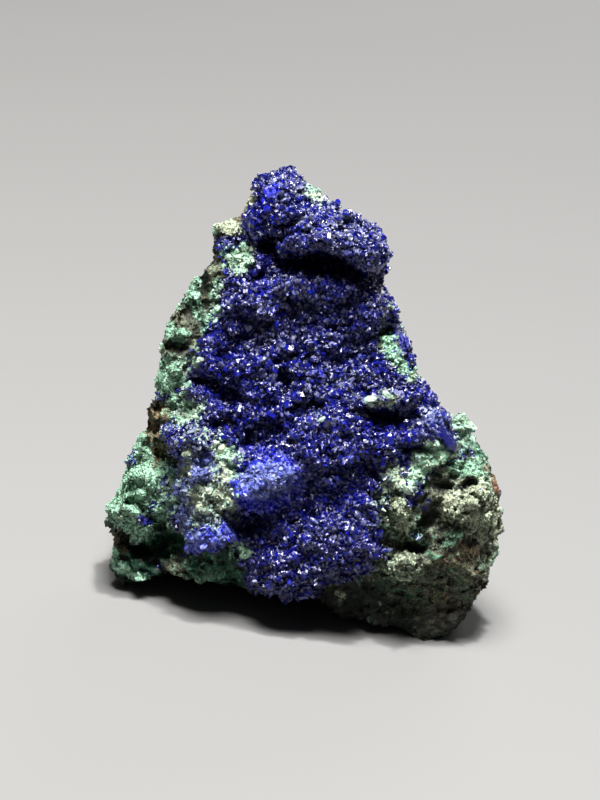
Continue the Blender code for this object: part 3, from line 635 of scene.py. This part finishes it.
def set_everywhere(mesh, name, value):
    set_attribute(mesh, name, np.full(len(mesh.vertices), value))


def above(mesh, fade):
    """0 where the mesh lies below the fade's first height over the floor and 1 above its second."""
    low, high = fade
    return smooth_step(places_of(mesh)[:, 2], low * MM, high * MM)


def evened(mesh, values, rounds=2):
    """The points' values, each drawn towards those of its neighbours."""
    ends = np.empty(len(mesh.edges) * 2, np.int32)
    mesh.edges.foreach_get("vertices", ends)
    first, second = ends.reshape(-1, 2).T
    count = np.bincount(ends, minlength=len(values))
    for _ in range(rounds):
        beside_first = np.bincount(first, values[second], len(values))
        beside_second = np.bincount(second, values[first], len(values))
        values = 0.5 * values + 0.5 * (beside_first + beside_second) / np.maximum(count, 1)
    return values


# ---- the two worked solids


def worked_solid(node, name, voxel, layers):
    """The solid's shape as one even, closed surface, pressed and then roughened by the layers."""
    shape = bmesh.new()
    shape.from_mesh(frame["nodes"][node].data)
    bmesh.ops.remove_doubles(shape, verts=shape.verts, dist=1e-7)
    mesh = bpy.data.meshes.new(name)
    shape.to_mesh(mesh)
    shape.free()
    mesh.materials.clear()
    piece = new_object(name, mesh)
    modifier = piece.modifiers.new("Even surface", "REMESH")
    modifier.mode = "VOXEL"
    modifier.voxel_size = voxel
    bake(piece)
    press(piece.data)
    roughen(piece.data, layers)
    return piece


def outermost(face_places):
    """w of the solids' outermost surface over each place."""
    corners, faces = [], []
    for node in frame["nodes"].values():
        first = len(corners)
        corners += [tuple(place) for place in in_face_frame(places_of(node.data))]
        faces += [tuple(first + corner for corner in face.vertices) for face in node.data.polygons]
    search = BVHTree.FromPolygons(corners, faces)
    found = []
    for u, v, w in face_places:
        hit = search.ray_cast(Vector((u, v, FAR_OUT)), Vector((0, 0, -1)))[0]
        found.append(w if hit is None else max(hit.z, w))
    return np.array(found)


def press(mesh):
    """Presses the front's hollows in and draws its lumps out, the same way through both pieces."""
    places = places_of(mesh)
    face_places = in_face_frame(places)
    surface = outermost(face_places)
    height = np.zeros(len(places))
    for u, v, wide, high, rise, *turn in DENTS:
        height += smooth_step(inside(face_places, u, v, wide, high, *turn), *DENT_EDGE) * rise
    noise.seed_set(CLUSTER_SEED)
    for spacing, rise in CLUSTERS:
        height += rise * each(places, spacing, cluster)
    lift = np.zeros(len(places))
    for u, v, wide, high, level, turn in LIFTS:
        share = smooth_step(inside(face_places, u, v, wide, high, turn), *LIFT_EDGE)
        lift = np.maximum(lift, share * (level - surface))
    height += evened(mesh, lift)
    depth = surface - face_places[:, 2]
    face_places[:, 2] += height * evened(mesh, 1 - smooth_step(depth, *PRESS_DEPTH))
    move_points(mesh, in_world(face_places))


def roughen(mesh, layers):
    """Moves the surface along its normals by the layers' heights, and keeps the base flat."""
    places = places_of(mesh)
    height = sum(rise * each(places, spacing, rule, shift) for rule, spacing, rise, shift in layers)
    set_attribute(mesh, "relief", height / MM)
    height *= above(mesh, ROUGH_FOOT) * (1 - CALMED * above(mesh, CALM_TOP))
    mesh.polygons.foreach_set("use_smooth", [True] * len(mesh.polygons))
    move_points(mesh, places + normals_of(mesh) * height[:, None])


def paint(mesh, kinds, ground=True):
    """Stores how strongly each kind of colour lies at each point, by its patches and its ground."""
    places = places_of(mesh)
    face_places = in_face_frame(places)
    spacing, reach = PATCH_WARP
    for axis in range(2):
        face_places[:, axis] += reach * (each(places, spacing, soft, (axis * 50 + 11, 5, 0)) - 0.5)
    front = smooth_step(face_places[:, 2], *PATCH_DEPTH)
    for kind in kinds:
        value = patch_values(face_places, PATCHES[kind]) * front
        if ground and kind in GROUND:
            size, least, strength, shift = GROUND[kind]
            laid = np.clip((each(places, size, soft, shift) - least) * strength + 0.5, 0, 1)
            value = np.maximum(value, laid * (1 - GROUND_HIDDEN * front))
        set_attribute(mesh, kind, value)


def finish_piece(piece, material, replaced=None):
    piece.data.materials.clear()
    piece.data.materials.append(material)
    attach(piece, BODY)
    if replaced:
        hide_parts(replaced)


# ---- finishes


def stone_colors(shader, look):
    """The rock's colours, laid over each other where their attributes say."""
    fine, mid = shader.grain(0.35, 4.0, 0.7), shader.grain(1.1, 3.0, 0.6)
    relief = shader.attribute("relief")
    ragged = (mid - 0.5) * 0.9 + (fine - 0.5) * 0.9 + relief * 0.5

    def laid(kind):
        return shader.step(shader.attribute(kind) + ragged, 0.34, 0.66)

    color = shader.shades(look.stone, 0.35, 2.1, shader.step(fine, 0.35, 0.7))
    color = shader.mix(laid("ochre"), color, shader.shades(look.ochre, 0.5, 1.8, fine))
    color = shader.mix(laid("green"), color, shader.shades(look.green, 0.5, 1.9, mid))
    # Near black where the dark patches lie: dark stone, and painted shade in clefts, hollows and under the
    # base.
    color = shader.mix(laid("dark") * 0.9, color, (0.006, 0.008, 0.006))
    mint = shader.shades(look.mint, 0.62, 1.4, shader.step(fine, 0.3, 0.75))
    color = shader.mix(laid("mint"), color, mint)
    color = shader.mix(laid("cream") * 0.9, color, shader.shades(look.cream, 0.6, 1.5, fine))
    color = shader.mix(laid("rust") * 0.8, color, look.rust)
    # Painted shade: the colour is darkened where the relief lies low, in the hollows between grains and
    # crags.
    low = shader.step(relief + (fine - 0.5) * 0.7, -0.70, -0.10)
    return shader.mix(low, shader.darkened(color, 0.10, 0.12, 0.09), color), ragged


def rock_material(settings):
    look, druse = settings.rock, settings.druse
    shader = Shader("weathered malachite rock", ior=1.6)
    color, ragged = stone_colors(shader, look)
    blue = shader.step(shader.attribute("blue") + ragged, 0.42, 0.60)
    color = shader.mix(blue, color, shader.mix(shader.grain(0.5, 2.0, 0.5), druse.deep, druse.azure))
    # Painted shade: small pits and thin grooves, which the bump presses in, are darkened; the mask is 0 in
    # them and 1 between them.
    worm = shader.maths("ABSOLUTE", shader.grain(0.75, 3.0, 0.6, 0.8) - 0.5)
    pore = shader.step(shader.grain(0.55, 2.0, 0.6), 0.36, 0.46) * shader.step(worm, 0.004, 0.035)
    color = shader.mix(pore, shader.darkened(color, 0.20, 0.22, 0.20), color)
    gloss = shader.step(shader.attribute("green"), 0.55, 0.85)
    roughness = 0.86 - gloss * 0.5 - blue * 0.45
    height = shader.grain(0.28, 4.0, 0.65) + shader.grain(0.9, 2.0, 0.5) * 0.8 + pore * 0.8
    return shader.finish(color, roughness, height, 0.20)


def azurite_colors(shader, look, shade):
    """Azurite from deep to lit with shade, and powdery or with painted sheen, a whitish colour for its
    glints, where its attributes say.
    """
    # Partly the crystals' own vivid blue and partly painted light: a copy of the azure 2.4 times as bright,
    # most of all on the ridge's lit top.
    vivid = shader.step(shader.attribute("vivid"), 0.3, 0.8) * 0.6
    color = shader.mix(vivid, shader.mix(shade, look.deep, look.azure), scaled(look.azure, 2.4))
    speck = shader.grain(0.7, 2.0, 0.6) - 0.5
    powder = shader.step(shader.attribute("powder") + speck * 1.2, 0.3, 0.8)
    color = shader.mix(powder * 0.85, color, shader.shades(look.powder, 0.5, 1.25, shade))
    # Painted sheen: crystals that these patches and chance pick turn whitish, standing in for the glints of
    # lit facets.
    chance = shader.maths("FRACT", shader.attribute("shade") * 7.3)
    glinting = shader.attribute("haze") * 0.8 + speck * 0.8 + (chance - 0.5) * 1.7 - 0.01
    haze = shader.step(glinting, 0.55, 0.8) * shader.attribute("frost")
    return shader.mix(haze * 0.75, color, look.haze), powder, haze


def druse_material(settings):
    shader = Shader("azurite crust", ior=1.73)
    shade = shader.step(shader.grain(0.8, 3.0, 0.6), 0.35, 0.8) * 0.6
    color, powder, _ = azurite_colors(shader, settings.druse, shade)
    stone, ragged = stone_colors(shader, settings.rock)
    bare = shader.step(shader.attribute("bare") + ragged, 0.32, 0.56)
    roughness = 0.3 + bare * 0.5 + powder * 0.4
    height = shader.grain(0.3, 4.0, 0.65) + shader.cells(0.6)
    return shader.finish(shader.mix(bare, color, stone), roughness, height, 0.14)


def crystal_material(settings):
    look, rock = settings.druse, settings.rock
    shader = Shader("azurite crystals", ior=1.76)
    shade, zone = shader.attribute("shade"), shader.grain(0.45, 2.0, 0.5)
    color, powder, haze = azurite_colors(shader, look, shade**2.6 * 0.8 + zone * 0.25)
    speck = shader.step(shader.grain(0.15, 2.0, 0.6), 0.40, 0.56)
    color = shader.mix(speck, shader.darkened(color, 0.22, 0.23, 0.40), color)
    chance = shader.maths("FRACT", shade * 23.0)
    pale = shader.mix(chance, scaled(rock.mint, 0.9), scaled(rock.cream, 1.5))
    mint = shader.step(shader.attribute("bare") + (shade - 0.5) * 0.7, 0.45, 0.7)
    color = shader.mix(mint * 0.8, color, pale)
    roughness = 0.07 + (1 - speck) * 0.07 + zone * 0.06 + powder * 0.45 + haze * 0.2 + mint * 0.3
    roughness = roughness + shader.attribute("dull") * 0.12
    striae = shader.maths("SINE", shader.attribute("across") * 40.0)
    return shader.finish(color, roughness, shader.grain(0.2, 3.0, 0.6) + striae * 0.35, 0.028)


def bead_material(settings):
    shader = Shader("malachite beads", ior=1.65)
    color, ragged = stone_colors(shader, settings.rock)
    color = shader.mix(shader.attribute("shade") * 0.7, color, shader.darkened(color, 0.45, 0.50, 0.45))
    return shader.finish(color, 0.72 + ragged * 0.1, shader.grain(0.2, 3.0, 0.6), 0.05)


# ---- what grows on them


def crystal_shapes():
    """The larger crystals' few forms, each about one unit wide and rooted below zero."""
    return collect("crystal forms", {
        "wedge": prism(ring(0.5, 0.38, 6), ridge=0.24, shoulder=0.42, top=0.82, lean=0.06),
        "blade": prism(ring(0.5, 0.26, 6), ridge=0.20, shoulder=0.50, top=0.95, lean=-0.10),
        "stub": prism(ring(0.46, 0.42, 5), ridge=0.15, shoulder=0.30, top=0.55, lean=0.12),
        "slab": prism(ring(0.52, 0.30, 4), ridge=0.30, shoulder=0.46, top=0.70, lean=0.0),
    })


def grain_shapes():
    """The forms of the fine crystals, of eight triangles each."""
    return collect("grain forms", {
        "roof": roof(0.50, 0.34, ridge=0.32, top=0.62, lean=0.04),
        "chisel": roof(0.42, 0.30, ridge=0.16, top=0.85, lean=-0.12),
        "plate": roof(0.55, 0.20, ridge=0.42, top=0.70, lean=0.10),
        "lozenge": roof(0.44, 0.42, ridge=0.22, top=0.50, lean=0.0),
    })


def collect(title, forms):
    """A collection with an object for each form."""
    group = bpy.data.collections.new(title)
    bpy.context.scene.collection.children.link(group)
    for name, (corners, faces) in forms.items():
        mesh = new_mesh(name, corners, faces)
        set_attribute(mesh, "across", [across_striae(x, y) for x, y, _ in corners])
        group.objects.link(bpy.data.objects.new(name, mesh))
    return group


def across_striae(x, y):
    return x + 0.7 * y


def ring(half_width, half_depth, count):
    """The corners of a flattened crystal's outline."""
    start = math.pi / count if count % 2 == 0 else 0.2
    turns = [start + 2 * math.pi * i / count for i in range(count)]
    return [(half_width * math.cos(turn), half_depth * math.sin(turn)) for turn in turns]


def roof(half_width, half_depth, ridge, top, lean):
    """A closed crystal whose sides slope up to one edge: its corners and faces."""
    corners = [(x * half_width, y * half_depth, ROOT) for x, y in SQUARE]
    corners += [(-ridge + lean, -0.06, top * 0.86), (ridge + lean, 0.06, top)]
    return corners, [(3, 2, 1, 0), (0, 1, 5, 4), (2, 3, 4, 5), (1, 2, 5), (3, 0, 4)]


def prism(outline, ridge, shoulder, top, lean, root=ROOT):
    """A closed crystal with upright sides and a chisel-shaped end: its corners and faces."""
    count = len(outline)
    corners = [(x * 0.9, y * 0.9, root) for x, y in outline]
    corners += [(x + lean * shoulder, y, shoulder + 0.12 * x) for x, y in outline]
    corners += [(ridge + lean, 0, top), (-ridge + lean, 0, top - 0.08)]
    nearest = [2 * count if x > 0 else 2 * count + 1 for x, _ in outline]
    faces = [tuple(reversed(range(count)))]
    for i in range(count):
        j = (i + 1) % count
        faces.append((i, j, count + j, count + i))
        end = (nearest[i],) if nearest[i] == nearest[j] else (nearest[j], nearest[i])
        faces.append((count + i, count + j, *end))
    return corners, faces


def growth_tree(name, beads=False):
    """A tree that scatters crystals or beads over a surface as densely as an attribute says."""
    tree = bpy.data.node_groups.new(name, "GeometryNodeTree")
    for label, kind in GROWTH_INPUTS.items():
        tree.interface.new_socket(label, in_out="INPUT", socket_type="NodeSocket" + kind)
    tree.interface.new_socket("Growth", in_out="OUTPUT", socket_type="NodeSocketGeometry")
    graph = Graph(tree)
    given = graph.node("NodeGroupInput")
    entry = {label: graph.out(given, label) for label in GROWTH_INPUTS}
    points = scattered_points(graph, entry)
    form = bead(graph) if beads else any_form(graph, entry)
    planted = graph.node("GeometryNodeInstanceOnPoints", {
        "Points": points, "Instance": form, "Pick Instance": not beads,
        "Rotation": leaning(graph, entry, points), "Scale": stretched_size(graph, entry),
    })
    ends = {"Geometry": planted, "Name": "shade"}
    stored = graph.node("GeometryNodeStoreNamedAttribute", ends, data_type="FLOAT", domain="INSTANCE")
    graph.feed(in_use(stored.inputs, "Value")[0], graph.random(0.0, 1.0, entry["Seed"] + 4))
    real = graph.node("GeometryNodeRealizeInstances", {"Geometry": stored})
    painted = graph.node("GeometryNodeSetMaterial", {"Geometry": real, "Material": entry["Finish"]})
    graph.node("NodeGroupOutput", {"Growth": painted})
    return tree


def scattered_points(graph, entry):
    share = graph.node("GeometryNodeInputNamedAttribute", {"Name": "growth"}, data_type="FLOAT")
    return graph.node("GeometryNodeDistributePointsOnFaces", {
        "Mesh": entry["Surface"], "Distance Min": entry["Spacing"], "Density Max": MOST_POINTS,
        "Density Factor": Wire(graph, in_use(share.outputs, "Attribute")[0]), "Seed": entry["Seed"],
    }, distribute_method="POISSON")


def leaning(graph, entry, points):
    """Each point's turn: any way round its normal, and up to the tilt away from it."""
    tilt = entry["Tilt"]
    low = graph.node("ShaderNodeCombineXYZ", {"X": tilt * -1.0, "Y": tilt * -1.0, "Z": 0.0})
    high = graph.node("ShaderNodeCombineXYZ", {"X": tilt, "Y": tilt, "Z": 2 * math.pi})
    lean = graph.random(low, high, entry["Seed"] + 1, "FLOAT_VECTOR")
    turn = graph.node("FunctionNodeEulerToRotation", {0: lean})
    ends = {0: graph.out(points, "Rotation"), 1: turn}
    return graph.node("FunctionNodeRotateRotation", ends, rotation_space="LOCAL")


def stretched_size(graph, entry):
    """Each point's size, mostly small, and not quite the same along its three axes."""
    larger = graph.random(0.0, 1.0, entry["Seed"] + 2) ** 2.0
    size = entry["Smallest"] + larger * (entry["Largest"] - entry["Smallest"])
    stretch = graph.random((0.8, 0.8, 0.75), (1.2, 1.2, 1.25), entry["Seed"] + 3, "FLOAT_VECTOR")
    return graph.node("ShaderNodeVectorMath", {0: stretch, "Scale": size}, operation="SCALE")


def bead(graph):
    ball = graph.node("GeometryNodeMeshIcoSphere", {"Radius": 0.5, "Subdivisions": 1})
    return graph.node("GeometryNodeSetShadeSmooth", {0: ball})


def any_form(graph, entry):
    choice = {"Collection": entry["Forms"], "Separate Children": True, "Reset Children": True}
    return graph.node("GeometryNodeCollectionInfo", choice)


def grow(name, surface, tree, growth, material, forms=None):
    """Adds the tree's growth over the surface, as a plain mesh of its own."""
    piece = new_object(name, surface.data.copy())
    modifier = piece.modifiers.new("Growth", "NODES")
    modifier.node_group = tree
    given = {
        "Forms": forms, "Smallest": growth.smallest, "Largest": growth.largest, "Spacing": growth.spacing,
        "Tilt": growth.tilt, "Seed": growth.seed, "Finish": material,
    }
    for item in tree.interface.items_tree:
        if item.in_out == "INPUT" and given.get(item.name) is not None:
            modifier[item.identifier] = given[item.name]
    bake(piece)
    move_points(piece.data, places_of(piece.data))
    finish_piece(piece, material)


def plant_prisms(carriers, material):
    """The large crystals that lie in the face, one mesh with each of them closed."""
    graph = bpy.context.evaluated_depsgraph_get()
    searches = [BVHTree.FromObject(carrier, graph) for carrier in carriers]
    sunk, proud = PRISM_SEAT
    form, sides = prism(ring(0.5, 0.40, 6), ridge=0.22, shoulder=0.72, top=1.0, lean=0.0, root=-0.1)
    corners, faces, across, shade = [], [], [], []
    for u, v, length, width, turn, rise, tone in PRISMS:
        seat = prism_seat(u, v, searches)
        lie = Matrix.Rotation(math.radians(turn), 3, "Z") @ Matrix.Rotation(math.radians(90 - rise), 3, "Y")
        faces += [tuple(len(corners) + corner for corner in side) for side in sides]
        for x, y, z in form:
            local = lie @ Vector((x * width, y * width, (z - sunk) * length))
            corners.append(stand() @ ((seat + local + Vector((0, 0, proud * width))) * MM))
            across.append(across_striae(x, y) * 0.2)
            shade.append(tone)
    mesh = new_mesh("azurite_prisms", corners, faces)
    set_attribute(mesh, "across", across)
    set_attribute(mesh, "shade", shade)
    set_everywhere(mesh, "dull", 1)
    finish_piece(new_object("azurite_prisms", mesh), material)


def prism_seat(u, v, searches):
    """Where the face is outermost at u and v, in the face frame."""
    there = stand()
    outward = (there.to_3x3() @ Vector((0, 0, 1))).normalized()
    over = there @ (Vector((u, v, PRISM_DROP)) * MM)
    hits = [search.ray_cast(over, -outward)[0] for search in searches]
    seats = [there.inverted() @ hit / MM for hit in hits if hit is not None]
    if not seats:
        raise RuntimeError("a large crystal has nothing to stand on")
    return max(seats, key=lambda place: place.z)


def beside(mesh, other, reach):
    """1 beside the other mesh's surface and 0 beyond reach of it."""
    others = places_of(other)
    search = KDTree(len(others))
    for index, place in enumerate(others):
        search.insert(place, index)
    search.balance()
    distance = np.array([search.find(place)[2] for place in places_of(mesh)])
    return 1 - smooth_step(distance, 0.3 * reach, reach)


def outer_side(mesh, rock):
    """1 on the mesh's side that looks out and 0 on the side that lies against the rock."""
    search = BVHTree.FromObject(rock, bpy.context.evaluated_depsgraph_get())
    start, reach = 0.05 * MM, 1.6 * MM
    blocked = [
        search.ray_cast(Vector(place) + Vector(normal) * start, Vector(normal), reach)[0] is not None
        for place, normal in zip(places_of(mesh), normals_of(mesh))
    ]
    return 1 - np.array(blocked, float)


def crystal_shares(mesh):
    """How densely each size of crystal stands on the druse: blades in its hollows, dust nearly all over."""
    bare, powder = values_of(mesh, "bare"), values_of(mesh, "powder")
    hollow = each(places_of(mesh), 4.2, soft, (2, 2, 2))
    nearly_all = np.clip(1.1 - bare * 0.5, 0, 1)
    return {
        "blades": np.clip((hollow - 0.42) * 2.2, 0, 1) * (1 - bare) * (1 - powder) * 0.8,
        "crystals": np.clip(1.25 - bare * 1.5 - 0.7 * powder, 0.0, 1),
        "grains": nearly_all,
        "dust": nearly_all,
    }


def spill_share(mesh, druse):
    """How densely azurite stands on the rock: on its blue patches and right beside the druse."""
    share = smooth_step(values_of(mesh, "blue"), 0.35, 0.75) + 0.9 * beside(mesh, druse, 0.8 * MM)
    return np.clip(share, 0, 1) * above(mesh, SPILL_FOOT)


def bead_share(mesh):
    """How densely beads stand on the rock: where it is mint or cream, and not where it is dense."""
    pale = np.maximum(values_of(mesh, "mint"), 0.8 * values_of(mesh, "cream"))
    ragged = pale + 0.9 * (each(places_of(mesh), 1.6, soft) - 0.5) + 0.5 * values_of(mesh, "relief")
    share = smooth_step(ragged, 0.3, 1.0) * (1 - smooth_step(values_of(mesh, "green"), 0.5, 0.9))
    return np.clip(share, 0, 1) * above(mesh, BEAD_FOOT)


def remove_forms(group):
    for form in list(group.objects):
        bpy.data.objects.remove(form)
    bpy.data.collections.remove(group)


# ---- operators


class SPECIMEN_OT_rock(bpy.types.Operator):
    """Works the rock's solid into weathered, pitted stone"""

    bl_idname = "specimen.rock"
    bl_label = "Rock"

    def execute(self, context):
        settings = context.scene.specimen
        look = settings.rock
        rock = worked_solid("matrix_rock", "weathered_rock", look.voxel, [
            (crag, 3.1, look.crags, (7, 0, 3)),
            (pit, 2.3, look.pits * 1.2, (4, 4, 0)),
            (groove, 0.85, look.pits * 1.1, (0, 2, 0)),
            (grit, 0.55, look.grain, (1, 1, 9)),
        ])
        paint(rock.data, [kind for kind in PATCHES if kind != "haze"])
        finish_piece(rock, rock_material(settings), "matrix_rock")
        return {"FINISHED"}


class SPECIMEN_OT_druse(bpy.types.Operator):
    """Works the druse's solid into the crust that its crystals stand on"""

    bl_idname = "specimen.druse"
    bl_label = "Druse crust"

    def execute(self, context):
        settings = context.scene.specimen
        look = settings.druse
        druse = worked_solid("azurite_crust", "druse_crust", look.voxel, [
            (crag, 2.6, look.crags, (5, 8, 0)),
            (pit, 1.2, look.pits, (3, 0, 0)),
            (grit, 0.6, 0.1 * MM, (0, 4, 4)),
        ])
        mesh = druse.data
        paint(mesh, PATCHES, ground=False)
        set_attribute(mesh, "bare", np.maximum(values_of(mesh, "mint"), values_of(mesh, "cream")))
        finish_piece(druse, druse_material(settings), "azurite_crust")
        return {"FINISHED"}


class SPECIMEN_OT_crystals(bpy.types.Operator):
    """Grows the azurite crystals over the druse, and a few over the rock beside it"""

    bl_idname = "specimen.crystals"
    bl_label = "Azurite crystals"

    def execute(self, context):
        settings = context.scene.specimen
        druse, rock = bpy.data.objects["druse_crust"], bpy.data.objects["weathered_rock"]
        tree, material = growth_tree("crystal growth"), crystal_material(settings)
        large, fine = crystal_shapes(), grain_shapes()
        room = above(druse.data, CRYSTAL_FOOT) * outer_side(druse.data, rock)
        for name, share in crystal_shares(druse.data).items():
            set_attribute(druse.data, "growth", share * room)
            set_everywhere(druse.data, "frost", SHEEN_SHARES[name])
            forms = fine if name in ("grains", "dust") else large
            grow("azurite_" + name, druse, tree, getattr(settings, name), material, forms)
        plant_prisms((druse, rock), material)
        set_everywhere(rock.data, "bare", 0)
        set_everywhere(rock.data, "frost", SHEEN_SHARES["spill"])
        set_attribute(rock.data, "growth", spill_share(rock.data, druse.data))
        grow("azurite_spill", rock, tree, settings.spill, material, fine)
        remove_forms(large)
        remove_forms(fine)
        return {"FINISHED"}


class SPECIMEN_OT_malachite(bpy.types.Operator):
    """Grows small malachite beads over the green rock"""

    bl_idname = "specimen.malachite"
    bl_label = "Malachite beads"

    def execute(self, context):
        settings = context.scene.specimen
        rock = bpy.data.objects["weathered_rock"]
        set_attribute(rock.data, "growth", bead_share(rock.data))
        tree = growth_tree("malachite growth", beads=True)
        grow("malachite_beads", rock, tree, settings.beads, bead_material(settings))
        return {"FINISHED"}


class SPECIMEN_OT_stage(bpy.types.Operator):
    """Sets the floor, the lights and the camera"""

    bl_idname = "specimen.stage"
    bl_label = "Stage"

    def execute(self, context):
        look = context.scene.specimen.stage
        add_floor(look)
        add_camera(context.scene, look)
        for name, (place, size) in LIGHTS.items():
            add_light(name + " light", getattr(look, name), place, size)
        world = bpy.data.worlds.new("dim studio")
        world.use_nodes = True
        background = world.node_tree.nodes["Background"]
        background.inputs["Color"].default_value = WORLD_COLOR
        background.inputs["Strength"].default_value = WORLD_STRENGTH
        context.scene.world = world
        context.scene.view_settings.view_transform = "Standard"
        return {"FINISHED"}


def add_floor(look):
    corners = [(x * FLOOR_REACH, y * FLOOR_REACH, 0) for x, y in SQUARE]
    mesh = new_mesh("floor", corners, [(0, 1, 2, 3)])
    floor = new_object("floor", mesh)
    material = bpy.data.materials.new("pale floor")
    material.use_nodes = True
    shader = material.node_tree.nodes["Principled BSDF"]
    shader.inputs["Base Color"].default_value = opaque(look.floor)
    shader.inputs["Roughness"].default_value = 0.9
    mesh.materials.append(material)


def add_camera(scene, look):
    camera = bpy.data.cameras.new("camera")
    camera.sensor_width = SENSOR_WIDTH
    camera.lens = SENSOR_WIDTH * look.distance / look.frame_height
    camera.clip_start = 0.01
    camera.clip_end = 50
    scene.camera = new_object("camera", camera)
    u, v = FACE_MIDDLE
    scene.camera.matrix_world = stand() @ Matrix.Translation((u * MM, v * MM, look.distance))


def add_light(name, power, place, size):
    """A square soft light at a place of the face frame, in metres, turned to the specimen."""
    light = bpy.data.lights.new(name, "AREA")
    light.shape = "SQUARE"
    light.size = size
    light.energy = power
    middle = Vector((0, FACE_MIDDLE[1] * MM, 0))
    seat, target = stand() @ (Vector(place) + middle), stand() @ middle
    lamp = new_object(name, light)
    lamp.location = seat
    lamp.rotation_euler = (target - seat).to_track_quat("-Z", "Y").to_euler()


class SPECIMEN_PT_panel(bpy.types.Panel):
    bl_label = "Azurite Specimen"
    bl_space_type = "VIEW_3D"
    bl_region_type = "UI"
    bl_category = "Specimen"

    def draw(self, context):
        settings = context.scene.specimen
        for operator, names in STEPS:
            box = self.layout.box()
            box.operator(operator.bl_idname)
            for name in names:
                group = getattr(settings, name)
                box.label(text=name.capitalize())
                for prop in group.bl_rna.properties:
                    if prop.identifier not in ("rna_type", "name"):
                        box.prop(group, prop.identifier)


STEPS = (
    (SPECIMEN_OT_rock, ("rock",)),
    (SPECIMEN_OT_druse, ("druse",)),
    (SPECIMEN_OT_crystals, ("blades", "crystals", "grains", "dust", "spill")),
    (SPECIMEN_OT_malachite, ("beads",)),
    (SPECIMEN_OT_stage, ("stage",)),
)
CLASSES = (
    RockSettings, DruseSettings, GrowthSettings, StageSettings, SpecimenSettings,
    *(operator for operator, _ in STEPS), SPECIMEN_PT_panel,
)


def register():
    for cls in CLASSES:
        bpy.utils.register_class(cls)
    bpy.types.Scene.specimen = PointerProperty(type=SpecimenSettings)


def unregister():
    del bpy.types.Scene.specimen
    for cls in reversed(CLASSES):
        bpy.utils.unregister_class(cls)


def set_growths(settings):
    for name, (*sizes, tilt, seed) in GROWTHS.items():
        growth = getattr(settings, name)
        growth.smallest, growth.largest, growth.spacing = (size * MM for size in sizes)
        growth.tilt, growth.seed = tilt, seed


def main():
    register()
    set_growths(bpy.context.scene.specimen)
    bpy.ops.specimen.rock()
    bpy.ops.specimen.druse()
    bpy.ops.specimen.crystals()
    bpy.ops.specimen.malachite()
    bpy.ops.specimen.stage()


if __name__ == "__main__":
    main()
